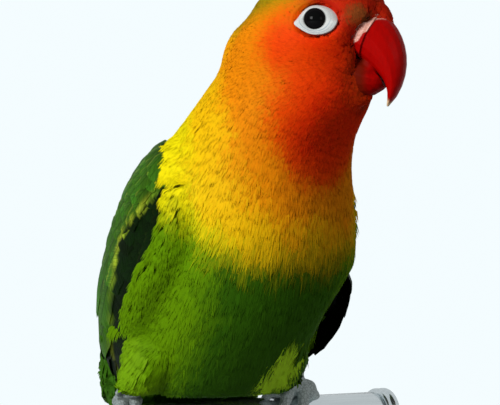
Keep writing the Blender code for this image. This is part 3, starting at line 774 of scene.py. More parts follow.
class Skin:
    """The skin's arrays, its search tree and the line down the middle of the body."""

    def __init__(self, piece):
        mesh = piece.data
        self.points = grid_of(mesh, "co") / MM
        quads = np.array([tuple(polygon.vertices) for polygon in mesh.polygons])
        self.faces = np.concatenate([quads[:, (0, 1, 2)], quads[:, (0, 2, 3)]])
        self.normals = unit(grid_of(mesh, "normal")[self.faces].mean(1))
        self.tree = BVHTree.FromPolygons(self.points.tolist(), self.faces.tolist())
        self.line = body_line(self.points)


def skin_line():
    """The line down the middle of the finished skin."""
    return body_line(grid_of(bpy.data.objects["skin"].data, "co") / MM)


def body_line(points):
    """Points down the middle of the body, from the head to the tip of the tail."""
    way = unit(TAIL_TIP - HEAD)
    along = (points - HEAD) @ way
    whole = float(np.dot(TAIL_TIP - HEAD, way))
    line = [BILL_BASE, HEAD]
    for share in np.linspace(0.16, 0.9, 9):
        ring = points[np.abs(along - share * whole) < 3.0]
        centre = (ring.min(0) + ring.max(0)) / 2
        centre[0] = 0.0 if share > 0.4 else centre[0]
        line.append(centre)
    line.append(TAIL_TIP)
    return np.array(line)


def line_at(line, points):
    """Nearest place on a line for each point: distance from its start, and its direction there."""
    starts, steps = line[:-1], np.diff(line, axis=0)
    lengths = norms(steps)
    directions = steps / lengths[:, None]
    begun = np.concatenate([[0], np.cumsum(lengths)[:-1]])
    best = np.full(len(points), 1e9)
    run = np.zeros(len(points))
    way = np.zeros_like(points)
    ahead = np.vstack([directions[1:], directions[-1:]])
    behind = np.vstack([directions[:1], directions[:-1]])
    for i in range(len(steps)):
        t = np.clip((points - starts[i]) @ directions[i], 0, lengths[i])
        off = norms(points - starts[i] - t[:, None] * directions[i])
        share = (t / lengths[i])[:, None]
        from_behind = (0.5 - share) * (behind[i] - directions[i])
        to_next = (share - 0.5) * (ahead[i] - directions[i])
        local = directions[i] + np.where(share < 0.5, from_behind, to_next)
        near = off < best
        best[near], run[near], way[near] = off[near], begun[i] + t[near], local[near]
    return run, unit(way)


def lie_of(line, points, normals, zones):
    """The way the feathers lie: back from the bill over the head, and down the body."""
    run, way = line_at(line, points)
    from_bill = points - (BILL_BASE - 5.0 * HEADING - 1.0 * UP)
    share = smooth_step(12, 26, norms(from_bill))[:, None]
    way = unit(unit(from_bill) * (1 - share) + way * share)
    for side, sign in SIDES.items():
        on_thigh = (zones < -0.5) & (np.sign(points[:, 0]) == sign)
        down = unit(middle(f"foot_{side}") - points)
        way[on_thigh] = unit(way[on_thigh] * 0.35 + down[on_thigh] * 0.65)
    for eye in EYES.values():
        towards = unit(eye - points)
        near = 1 - smooth_step(5.0, 8.5, norms(eye - points))
        facing = np.clip((way * towards).sum(1), 0, 1) * near
        way = unit(way - towards * (facing * 1.25)[:, None])
    return unit(across_of(way, normals)), run


def unwrap(line, points, run):
    """The skin's own unwrap: the angle round the body's line against the distance down it."""
    whole = path_length(line)
    near = np.stack([np.interp(run, np.linspace(0, whole, len(line)), line[:, i]) for i in range(3)], 1)
    off = points - near
    angle = np.arctan2(off[:, 0], -off[:, 1]) / (2 * math.pi) + 0.5
    return np.stack([angle, run / whole], 1)


def fitted(chart, margin):
    """Places of a bake map spread over the whole square, up to a margin."""
    return (chart - chart.min(0)) / np.maximum(np.ptp(chart, axis=0), 1e-6) * (1 - 2 * margin) + margin


def seeded():
    """A fresh random sequence that is the same on every run."""
    return np.random.default_rng(bpy.context.scene.lovebird_sizes.seed)


def spread_roots(skin, spacing_of, rng):
    """Root places spread evenly over the skin, closer where spacing_of says so."""
    corner = skin.points[skin.faces]
    first, second = corner[:, 1] - corner[:, 0], corner[:, 2] - corner[:, 0]
    area = norms(np.cross(first, second)) / 2
    spacing = spacing_of(corner.mean(1))
    wanted = 2.6 * area / spacing**2
    count = int(wanted.sum())
    face = rng.choice(len(area), count, p=wanted / wanted.sum())
    a, b = rng.random(count), rng.random(count)
    flip = a + b > 1
    a[flip], b[flip] = 1 - a[flip], 1 - b[flip]
    place = corner[face, 0] + first[face] * a[:, None] + second[face] * b[:, None]
    # Of all the roots in one cell only the first stays. Cells come in steps of size.
    level = np.round(np.log(spacing[face]) * 4)
    cell = np.floor(place / np.exp(level / 4)[:, None]).astype(int)
    key = np.column_stack([cell, level])
    kept = np.sort(np.unique(key, axis=0, return_index=True)[1])
    return place[kept], face[kept]


def tuft_arrays(root, normal, way, length, width, height, blades, skin, rng):
    """Fans of narrow closed blades that start in the skin and lie along it."""
    count = len(root)
    half = root + way * (length * 0.55)[:, None]
    middle_place, middle_normal = snapped(skin, half)
    middle_normal = unit(middle_normal + 0.5 * normal)
    middle_way = unit(across_of(way, middle_normal))
    far = middle_place + middle_way * (length * 0.45)[:, None]
    tip_place, tip_normal = snapped(skin, far)
    tip_normal = unit(tip_normal + 0.5 * middle_normal)
    side = np.cross(normal, way)
    middle_side = np.cross(middle_normal, middle_way)
    v = np.linspace(-1, 1, blades)[None, :, None] + rng.uniform(-0.5, 0.5, (count, blades, 1)) / blades
    reach = (1 - 0.25 * v**2) * rng.uniform(0.85, 1.12, (count, blades, 1))
    w = width[:, None, None]
    h = height[:, None, None]
    lift = rng.uniform(0.75, 1.1, (count, blades, 1))
    n0, nm, nt = normal[:, None], middle_normal[:, None], tip_normal[:, None]
    s0, sm = side[:, None], middle_side[:, None]
    start = root[:, None] - n0 * 0.12 + s0 * v * w * 0.1
    centre = middle_place[:, None] + nm * (h * 0.8 * lift) + sm * (v * w * 0.42)
    end_full = tip_place[:, None] + nt * (h * lift * 0.95)
    end = middle_place[:, None] + nm * h * 0.7 + (end_full - middle_place[:, None] - nm * h * 0.7) * reach
    end = end + sm * (v * w * 0.5)
    b = w / blades * 0.72
    edges = [centre - sm * b - nm * b * 0.2, centre + sm * b - nm * b * 0.2]
    points = np.stack([start, *edges, centre + nm * b * 0.5, end], 2)
    one = np.ones_like(centre)
    aside = sm * 0.16 * one
    bent = np.stack([n0 * one, nm * 0.98 - aside, nm * 0.98 + aside, nm * one, nt * one], 2)
    faces = np.array([(0, 1, 3), (0, 3, 2), (1, 4, 3), (3, 4, 2), (0, 2, 1), (1, 2, 4)])
    starts = np.arange(count * blades)[:, None, None] * 5
    faces = (faces[None] + starts).reshape(-1, 3)
    along = np.broadcast_to(np.array([0, 0.55, 0.55, 0.6, 1.0]), (count, blades, 5))
    return points.reshape(-1, 3), unit(bent.reshape(-1, 3)), faces, along.ravel(), v[..., 0]


# ---------------------------------------------------------------- operators


class LOVEBIRD_OT_materials(bpy.types.Operator):
    """Builds the shared marking groups and the two feather finishes"""

    bl_idname = "lovebird.materials"
    bl_label = "Markings"

    def execute(self, context):
        colours = context.scene.lovebird_plumage
        build_plumage_group(colours)
        build_variation_group()
        build_barb_group()
        plumage_material("plumage")
        vane_material("vane plumage", colours)
        return {"FINISHED"}


class LOVEBIRD_OT_skin(bpy.types.Operator):
    """Makes one skin in place of the flesh nodes, inside them by the coat's depth"""

    bl_idname = "lovebird.skin"
    bl_label = "Skin"

    def execute(self, context):
        step = context.scene.lovebird_sizes.skin_step / MM
        points, normals, faces = remeshed(FLESH, step, 5, SKIN_GROWTH, skin_pads())
        inwards = SKIN_GROWTH + coat_depth(points) + drawn_in(points)
        points = points - normals * inwards[:, None]
        # The belly's underside is pressed flat above the rail.
        floor = RAIL_TOP + np.interp(points[:, 1], (4.0, 12.0), (3.1, -30.0))
        low = points[:, 2] < floor
        points[:, 2] = np.where(low, floor + 0.04 * (points[:, 2] - floor), points[:, 2])
        count = len(points)
        values = {
            "root": points * MM,
            "zone": zones_of(points),
            "chance": np.full(count, 0.3),
            "along": np.zeros(count),
        }
        finish = bpy.data.materials["plumage"]
        piece = add_piece("skin", points, faces, finish, FLESH, values)
        if len(piece.data.polygons) < 5000:
            raise RuntimeError("the skin came out empty")
        return {"FINISHED"}


def skin_pads():
    """Swellings that the flesh nodes lack: round the bill, on the cheeks, nape, flank and left thigh."""
    pads = [
        (in_head(11.3, 0.0, 1.6), (4.0, 3.2, 4.4)),
        (in_head(10.4, 0.0, 3.2), (4.2, 3.6, 3.8)),
        (in_head(8.4, 0.0, -11.9), (3.0, 2.6, 2.3)),
        (in_head(-10.3, 0.0, -6.4), (9.2, 7.4, 10.9)),
    ]
    for sign in (1, -1):
        pads.append((in_head(7.5, 2.0 * sign, -9.2), (3.0, 2.2, 3.8)))
        pads.append((in_head(6.4, 4.2 * sign, -4.2), (3.2, 2.2, 4.0)))
        pads.append((in_head(6.4, 4.8 * sign, 1.2), (4.0, 3.0, 4.4)))
    pads += flank_pads()
    pads += [(centre + (3.2, -1.4, 0.0), np.array(radii) * 0.95) for centre, radii in flank_pads()]
    pads.append((np.array((9.4, -12.8, RAIL_TOP + 7.5)), (5.2, 4.6, 6.4)))
    return pads


def drawn_in(points):
    """How much further than the coat's depth the skin is drawn in, by height and place."""

    def beside(x, y, reach):
        return np.exp(-(((points[:, :2] - (x, y)) / reach) ** 2).sum(1))

    def by_height(above_rail, depths):
        return np.interp(points[:, 2], RAIL_TOP + np.array(above_rail), depths)

    heights = (2, 8, 12, 16, 20, 24, 28, 33, 38, 46)
    left_flank = by_height(heights, (1.5, 2.8, 3.8, 4.6, 4.4, 2.0, -0.3, -0.9, -0.5, 0.0))
    left_breast = by_height(heights, (0, 0, 0, 0, 0.1, 0.9, 1.9, 1.3, 0.3, 0.0))
    low_wing = by_height((-8, -2, 6, 10, 14), (0.0, 1.6, 2.4, 1.8, 0.0))
    brow = norms(points - in_head(12.4, 0.0, 7.4))
    sunk = 0.8 * np.exp(-((brow / 2.4) ** 2)) - left_breast * beside(14.0, -27.5, 6.0)
    sunk = sunk + low_wing * beside(-19.0, 5.5, (4.5, 6.0))
    return left_flank * beside(20.5, -16.0, (7.5, 9.0)) + sunk


def coat_depth(points):
    """Depth of the coat over the skin, thin on the face."""
    sizes = bpy.context.scene.lovebird_sizes
    share = smooth_step(9, 34, norms(points - (BILL_BASE - 4.0 * HEADING)))
    return (sizes.coat_face + (sizes.coat_body - sizes.coat_face) * share) / MM


def zones_of(points):
    """1 on the wings, -1 on the thighs and 0 elsewhere."""
    zones = np.zeros(len(points))
    wings = distances(node_tree(*FLIGHT_NODES), points)
    body = distances(node_tree("trunk", "neck", "head", "tail"), points)
    thighs = distances(node_tree("thigh_left", "thigh_right"), points)
    zones[wings < np.minimum(body, 1.9)] = 1.0
    zones[(thighs < body) & (thighs < wings) & (thighs < 2.4)] = -1.0
    for centre, radii in flank_pads():
        zones[norms((points - centre) / radii) < 1.12] = 0.0
    x, y, z = points.T
    zones[(x < -10.5) & (y > 3.5) & (z < RAIL_TOP + 9)] = 1.0
    zones[(x < -17.0) & (y > 0.5) & (z < RAIL_TOP + 16)] = 1.0
    return zones


class LOVEBIRD_OT_coat(bpy.types.Operator):
    """Lays the small feathers over the skin as fans of narrow blades"""

    bl_idname = "lovebird.coat"
    bl_label = "Coat"

    def execute(self, context):
        rng = seeded()
        skin = Skin(bpy.data.objects["skin"])
        place, face = spread_roots(skin, lambda points: 0.47 + 0.47 * tuft_size(points), rng)
        keep = open_to_coat(place)
        place, face = place[keep], face[keep]
        normal = skin.normals[face]
        zones = zones_of(place)
        way, run = lie_of(skin.line, place, normal, zones)
        turn = rng.normal(0, 0.13, len(place))[:, None]
        way = unit(way * np.cos(turn) + np.cross(normal, way) * np.sin(turn))
        length, width, height = tuft_sizes(place, way, zones, rng)
        chart = unwrap(skin.line, place, run)
        for number, (band, blades) in enumerate(COAT_BANDS.items()):
            starts = (-math.inf, *COAT_STARTS, math.inf)
            members = np.flatnonzero((run >= starts[number]) & (run < starts[number + 1]))
            members = members[np.argsort(chart[members, 0])]
            groups = math.ceil(len(members) * blades * 6 / MOST_TRIANGLES)
            for part, chosen in enumerate(np.array_split(members, groups), 1):
                tufts = [values[chosen] for values in (place, normal, way, length, width, height)]
                points, bent, faces, along, across = tuft_arrays(*tufts, blades, skin, rng)
                count = len(chosen)
                chance = 0.5 * rng.random((count, 1, 1)) + 0.5 * rng.random((count, blades, 1))
                repeat = blades * 5
                patch = np.stack([np.repeat(across.ravel(), 5), along - 0.5], 1) * TUFT_PATCH
                values = {
                    "root": np.repeat(place[chosen], repeat, 0) * MM,
                    "zone": np.repeat(zones[chosen], repeat),
                    "chance": np.broadcast_to(chance, (count, blades, 5)).ravel(),
                    "along": along,
                }
                add_piece(
                    f"coat_{band}_{part}",
                    points,
                    faces,
                    bpy.data.materials["plumage"],
                    values=values,
                    normals=bent,
                    places=np.repeat(fitted(chart[chosen], 0.01), repeat, 0) + patch,
                )
        return {"FINISHED"}


# Blades in a tuft of each band of the coat, and how far down the body's line each band after the first
# starts, in millimetres.
COAT_BANDS = {"head": 7, "neck": 7, "breast": 9, "belly": 9, "vent": 9}
COAT_STARTS = (17, 31, 50, 70)


def tuft_size(points):
    """0 for the smallest tufts, at the bill, to 1 for the largest, on the body."""
    return smooth_step(7, 48, norms(points - (BILL_BASE - 5.0 * HEADING)))


def open_to_coat(place):
    """True for roots clear of eyes, bill, feet, rail and tail, and of the wings' own feathers."""
    eyes = distances(node_tree(*EYE_RINGS, "eye_left", "eye_right"), place)
    horn = distances(node_tree("cere", "bill_upper", "bill_lower"), place)
    feet = distances(node_tree("foot_left", "foot_right", "perch_rail"), place)
    down_tail = (place - TAIL_ROOT) @ unit(TAIL_TIP - TAIL_ROOT)
    on_rail = (place[:, 1] < RAIL[1] + 3.0) & (place[:, 2] < BELLY_FLOOR + 0.5)
    keep = (eyes > 0.75) & (horn > 0.12) & (feet > 0.5) & (down_tail < 11) & ~on_rail
    keep[keep] = ~under_wing(place[keep])
    return keep


def tuft_sizes(place, way, zones, rng):
    """Length, width and height of each tuft: smaller by the eye rings and the flank, short of the rail."""
    size = tuft_size(place)
    length = (1.7 + 5.6 * size) * rng.uniform(0.85, 1.2, len(place))
    width = (1.0 + 1.9 * size) * rng.uniform(0.85, 1.15, len(place))
    length[zones > 0.5] = 3.2
    height = coat_depth(place)
    height[zones > 0.5] *= 0.45
    near_ring = 1 - smooth_step(0.75, 2.2, distances(node_tree(*EYE_RINGS), place))
    length *= 1 - 0.45 * near_ring
    height = height * (1 - 0.3 * near_ring)
    flank = np.array([centre for centre, _ in flank_pads()])
    from_flank = np.sqrt(((place[:, None] - flank[None]) ** 2).sum(2).min(1))
    near_flank = 1 - smooth_step(4.5, 7.5, from_flank)
    length *= 1 - 0.5 * near_flank
    width *= 1 - 0.4 * near_flank
    room = (place[:, 2] - BELLY_FLOOR) / np.maximum(-way[:, 2], 0.05)
    over_rail = (place[:, 1] < RAIL[1] + 3.0) & (np.abs(place[:, 0]) < 13)
    length = np.where(over_rail, np.minimum(length, np.maximum(room, 1.2)), length)
    return length, width, height


# Steps along and across a wing's grid, the share of its width left free at each edge, and the way that
# a wing is moved out.
WING_ROWS, WING_LANES = 64, 26
WING_EDGE = 0.01
WING_SHIFT = np.array((0.866, -0.5, 0.0))


@functools.cache
def wing_of(side):
    """The map of one wing, worked out once."""
    return WingMap(side)


def under_wing(points):
    """True for roots that lie beneath the wing's own feathers."""
    hidden = np.zeros(len(points), bool)
    for side in SIDES:
        wing = wing_of(side)
        place = wing.grid.reshape(-1, 3)
        normal = wing.normal.reshape(-1, 3)
        tree = kdtree.KDTree(len(place))
        for k, point in enumerate(place):
            tree.insert(point, k)
        tree.balance()
        for k, point in enumerate(points):
            _, nearest, far = tree.find(point)
            off = point - place[nearest]
            out = off @ normal[nearest]
            hidden[k] |= far < 5 and out < 0.0 and norms(off - normal[nearest] * out) < 1.3
    return hidden


class WingMap:
    """A wing's outer face as a grid from wrist to tip and from its lower to its upper edge."""

    def __init__(self, side):
        tree = node_tree(f"wing_{side}", f"primaries_{side}")
        start, end = NECK.copy(), TAIL_TIP.copy()
        start[0] = 0.0
        axis = unit(end - start)
        front = np.array((0.0, -1.0, 0.0))
        front = unit(front - axis * front.dot(axis))
        out = np.array((SIDES[side], 0.0, 0.0))

        def hit(run, angle):
            direction = front * math.cos(angle) + out * math.sin(angle)
            base = start + axis * run
            found = tree.ray_cast((base + direction * 70).tolist(), (-direction).tolist(), 70)
            return None if found[0] is None else (np.array(found[0]), np.array(found[1]))

        # The lower and the upper edge of the wing, as angles about the axis at each run along it.
        rows = []
        for run in np.arange(-25, np.linalg.norm(end - start) + 20, 1.0):
            found = [angle for angle in np.radians(np.arange(10, 215, 1.5)) if hit(run, angle)]
            if len(found) >= 2:
                rows.append((run, found[0], found[-1]))
        runs, *edges = np.array(rows).T
        edges = [np.convolve(np.pad(edge, 2, "edge"), np.ones(5) / 5, "valid") for edge in edges]
        self.grid = np.zeros((WING_ROWS + 1, WING_LANES + 1, 3))
        self.normal = np.zeros_like(self.grid)
        for i in range(WING_ROWS + 1):
            run = runs[0] + (runs[-1] - runs[0]) * i / WING_ROWS
            low, high = (np.interp(run, runs, edge) for edge in edges)
            shares = [WING_EDGE + (1 - 2 * WING_EDGE) * j / WING_LANES for j in range(WING_LANES + 1)]
            hits = [hit(run, low + (high - low) * share) for share in shares]
            good = [j for j, found in enumerate(hits) if found]
            if not good:
                raise RuntimeError("a wing row missed its solid")
            for j in range(WING_LANES + 1):
                nearest = min(good, key=lambda k: abs(k - j))
                self.grid[i, j], self.normal[i, j] = hits[nearest]
        for _ in range(6):
            blurred = self.normal.copy()
            blurred[1:-1] += self.normal[2:] + self.normal[:-2]
            blurred[:, 1:-1] += self.normal[:, 2:] + self.normal[:, :-2]
            self.normal = unit(blurred)
        # The wing is moved out sideways or drawn in, by its height above the rail.
        heights = RAIL_TOP + np.array((-14, 0, 4, 8, 12, 16, 20, 24, 28, 32, 60))
        left = (0, -2.0, -1.8, -0.8, 0.8, 2.2, 2.2, 1.5, -1.0, -3.2, -3.6)
        right = (-3.6, -3.8, -3.5, -2.4, -1.2, -0.7, -0.3, 0, 0, 0, 0)
        reach = np.interp(self.grid[..., 2], heights, left if side == "left" else right)
        chord = np.linspace(0, 1, WING_LANES + 1)[None]
        if side == "left":
            reach = reach * (1 - smooth_step(0.6, 1.0, chord))
        self.grid += reach[..., None] * WING_SHIFT * SIDES[side]
        # The right wing's lower edge sinks under the flank's feathers.
        if side == "right":
            sink = 0.9 * (1 - smooth_step(0.12, 0.42, chord))
            sink = sink * smooth_step(RAIL_TOP + 9, RAIL_TOP + 17, self.grid[..., 2])
            self.grid -= self.normal * sink[..., None]
        self.length = path_length(self.grid[:, WING_LANES // 2])

    def at(self, span, chord):
        """Place and normal at shares of the span and the chord."""
        x = np.clip(span, 0, 1) * WING_ROWS
        y = np.clip(chord, 0, 1) * WING_LANES
        i = np.minimum(x.astype(int), WING_ROWS - 1)
        j = np.minimum(y.astype(int), WING_LANES - 1)
        fx, fy = (x - i)[..., None], (y - j)[..., None]
        both = []
        for grid in (self.grid, self.normal):
            top = grid[i, j] * (1 - fy) + grid[i, j + 1] * fy
            bottom = grid[i + 1, j] * (1 - fy) + grid[i + 1, j + 1] * fy
            both.append(top * (1 - fx) + bottom * fx)
        return both[0], unit(both[1])

    def chord(self, span):
        """Width of the wing at a share of its span, in millimetres."""
        return path_length(self.grid[int(round(min(max(span, 0), 1) * WING_ROWS))])


def vane_shape(share, point):
    """Half width of a vane along its length, from 0 at the quill to 1 at the widest."""
    body = np.minimum(1, 0.35 + 1.6 * share**0.8)
    end = np.clip((1 - share) / (1 - point), 0, 1)
    return body * np.sqrt(1 - (1 - end) ** 2) + 0.02


def vane_arrays(paths, rng, steps=13, lanes=5):
    """Closed arched vanes, one for each path: a dict of its spine, normals, width, tilt, hand and labels."""

    def each(label, axes=0):
        values = np.array([path[label] for path in paths])
        return values.reshape(*values.shape, *[1] * axes)

    count = len(paths)
    spine, normal = each("spine"), each("normal")
    width, point, tilt = each("width", 1), each("point", 1), each("tilt", 3)
    forward = unit(np.gradient(spine, axis=1))
    side = unit(np.cross(normal, forward)) * each("hand", 2)
    share = np.linspace(0, 1, steps)[None]
    half = vane_shape(share, point) * width / 2
    ragged = 1 + rng.normal(0, 0.05, (count, steps, 2)) * (share > 0.2)[..., None]
    x = np.linspace(-1, 1, lanes)
    edge = np.where(x[None, None] < 0, ragged[..., :1], ragged[..., 1:])
    offset = x[None, None] * half[..., None] * edge
    arch = (1 - x**2)[None, None] * half[..., None] * 0.16
    top = spine[:, :, None] + side[:, :, None] * offset[..., None]
    top = top + normal[:, :, None] * (arch[..., None] - tilt * offset[..., None])
    thick = 0.05 + 0.12 * (1 - np.abs(x))[None, None, :, None] * np.ones_like(half)[..., None, None]
    bottom = top - normal[:, :, None] * thick
    points = np.stack([top, bottom], 1)
    outwards = np.broadcast_to(normal[:, :, None], top.shape)
    bent = np.stack([outwards + side[:, :, None] * (x * 0.22)[:, None], -outwards], 1)
    upper, lower = np.arange(2 * steps * lanes).reshape(2, steps, lanes)
    quads = []
    for k in range(steps - 1):
        for m in range(lanes - 1):
            quads.append((upper[k, m], upper[k + 1, m], upper[k + 1, m + 1], upper[k, m + 1]))
            quads.append((lower[k, m], lower[k, m + 1], lower[k + 1, m + 1], lower[k + 1, m]))
        quads.append((upper[k, 0], lower[k, 0], lower[k + 1, 0], upper[k + 1, 0]))
        quads.append((upper[k, -1], upper[k + 1, -1], lower[k + 1, -1], lower[k, -1]))
    for m in range(lanes - 1):
        quads.append((upper[0, m], upper[0, m + 1], lower[0, m + 1], lower[0, m]))
        quads.append((upper[-1, m], lower[-1, m], lower[-1, m + 1], upper[-1, m + 1]))
    size = 2 * steps * lanes
    faces = np.array(quads)[None] + np.arange(count)[:, None, None] * size
    flipped = each("hand") < 0
    faces[flipped] = faces[flipped][..., ::-1]
    values = {
        "along": np.broadcast_to(share[:, None, :, None], (count, 2, steps, lanes)).ravel(),
        "across": np.broadcast_to(x, (count, 2, steps, lanes)).ravel(),
        "kind": np.repeat(each("kind"), size),
        "length": np.repeat(each("length"), size),
        "chance": np.repeat(rng.random(count), size),
        "root": np.repeat(spine[:, 0], size, 0) * MM,
    }
    return points.reshape(-1, 3), faces.reshape(-1, 4), values, unit(bent.reshape(-1, 3))


def wing_bands(points, chance):
    """Where the folded wing is painted dark along its lower edge, partly the flight feathers' own near-black
    and partly painted shade between the wing and the belly, and the bright line behind that edge.
    """
    tall = points[:, 2] - RAIL_TOP
    heights = (-12, 2, 6, 14, 20, 26, 30, 34, 38, 42, 45)
    depths = (12.0, 7.0, 4.5, -1.3, -3.6, -6.6, -8.2, -11.0, -16.5, -19.5, -26.0)
    behind = points[:, 1] - np.interp(tall, heights, depths) + (chance - 0.5) * 0.7
    dark = 1 - smooth_step(-0.3, 0.3, behind)
    line = smooth_step(-0.3, 0.3, behind) * (1 - smooth_step(0.6, 1.6, behind))
    line = line * (0.2 + 0.8 * smooth_step(22, 30, tall)) * (1 - smooth_step(38, 43, tall))
    return dark, line


def vane_piece(name, paths, replaced, rng, line):
    """A joined mesh of vanes with its bake map."""
    points, faces, values, bent = vane_arrays(paths, rng)
    roots = np.array([path["spine"][0] for path in paths])
    run, _ = line_at(line, roots)
    chart = fitted(unwrap(line, roots, run), 0.02)
    if name.startswith("wing"):
        values["dark"], values["line"] = wing_bands(points, values["chance"])
    each = len(points) // len(paths)
    patch = np.stack([values["across"], values["along"] - 0.5], 1) * VANE_PATCH
    places = np.repeat(chart, each, 0) + patch
    finish = bpy.data.materials["vane plumage"]
    return add_piece(name, points, faces, finish, replaced, values, bent, places)


class LOVEBIRD_OT_wings(bpy.types.Operator):
    """Lays coverts, secondaries and primaries over both wings"""

    bl_idname = "lovebird.wings"
    bl_label = "Wings"

    def execute(self, context):
        rng = seeded()
        line = skin_line()
        for side, sign in SIDES.items():
            wing = wing_of(side)
            paths = []

            def lay(spans, chords, width, kind, heights, point):
                paths.append(feather(wing, -sign, spans, chords, width, kind, heights, point, rng))

            for i in range(10):
                chord = 0.10 + 0.085 * i
                heights = (-0.95 + 0.05 * i, -0.5 + 0.03 * i)
                lay((0.40, 1.0 - 0.036 * i), (chord * 0.7, chord), 5.6, PRIMARY, heights, 0.62)
            for i in range(4):
                chord = 0.02 + 0.05 * i
                lay((0.22, 0.50 + 0.01 * i), (chord, chord + 0.02), 4.2, SECONDARY, (-0.6, -0.15), 0.7)
            for i in range(11):
                chord = 0.19 + 0.078 * i
                ends = (chord, chord * 0.94 + 0.03)
                lay((0.30, 0.52 + 0.022 * i), ends, 6.4, COVERT, (-0.75 + 0.02 * i, -0.1), 0.8)
            # Rows of small coverts from the longest up to the shoulder: start, length and width.
            rows = [(0.285, 15.5, 6.0), (0.235, 10.0, 5.0), (0.195, 8.0, 4.4)]
            rows += [(0.165 - 0.021 * i, 6.4 - 0.25 * i, 3.9 - 0.12 * i) for i in range(8)]
            for start, length, width in rows:
                count = max(3, int(wing.chord(start + 0.03) / (width * 0.52)))
                for i in range(count):
                    chord = (i + 0.5 + rng.uniform(-0.18, 0.18)) / count
                    begin = start + rng.uniform(-0.006, 0.006)
                    end = begin + length / wing.length
                    lay((begin, end), (chord, chord), width, COVERT, (-0.45, 0.12), 0.86)
            vane_piece(f"wing_feathers_{side}", paths, (f"primaries_{side}",), rng, line)
        return {"FINISHED"}


def feather(wing, hand, spans, chords, width, kind, heights, point, rng):
    """One feather laid from its root to its tip, in shares of the wing's span and chord."""
    share = np.linspace(0, 1, 13)
    span = spans[0] + (spans[1] - spans[0]) * share
    chord = chords[0] + (chords[1] - chords[0]) * share
    place, normal = wing.at(span, chord)
    height = heights[0] + (heights[1] - heights[0]) * share**0.7
    spine = place + normal * height[:, None]
    return {
        "spine": spine,
        "normal": normal,
        "width": width * rng.uniform(0.95, 1.05),
        "tilt": 0.10,
        "hand": hand,
        "kind": kind,
        "length": path_length(spine),
        "point": point,
    }


class LOVEBIRD_OT_tail(bpy.types.Operator):
    """Lays the twelve tail feathers"""

    bl_idname = "lovebird.tail"
    bl_label = "Tail"

    def execute(self, context):
        rng = seeded()
        line = skin_line()
        tree = node_tree("tail", "trunk")
        axis = unit(TAIL_TIP - TAIL_ROOT)
        back = unit(np.cross((1.0, 0.0, 0.0), axis))
        back = back if back[1] > 0 else -back
        low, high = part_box("tail")
        half = (high.x - low.x) / 2 / MM - 0.6
        whole = float(np.linalg.norm(TAIL_TIP - TAIL_ROOT))
        paths = []
        share = np.linspace(0, 1, 13)
        for pair in range(6, 0, -1):
            for sign in (1, -1):
                fan = (pair - 0.5) / 6
                end = whole * (0.98 - 0.20 * fan)
                aside = sign * half * (0.30 * fan + (0.95 - 0.30) * fan * share)
                spine = []
                for x, run in zip(aside, -2 + (end + 2) * share):
                    base = TAIL_ROOT + axis * run + np.array((x, 0, 0))
                    found = tree.ray_cast((base + back * 40).tolist(), (-back).tolist(), 80)
                    spine.append(np.array(found[0]) if found[0] is not None else base)
                paths.append({
                    "spine": np.array(spine) + back * (-0.25 * pair - 0.15),
                    "normal": np.array([back] * len(spine)),
                    "width": 6.4,
                    "tilt": 0.0,
                    "hand": 1.0,
                    "kind": TAIL_FEATHER,
                    "length": end,
                    "point": 0.86,
                })
        vane_piece("tail_feathers", paths, (), rng, line)
        return {"FINISHED"}


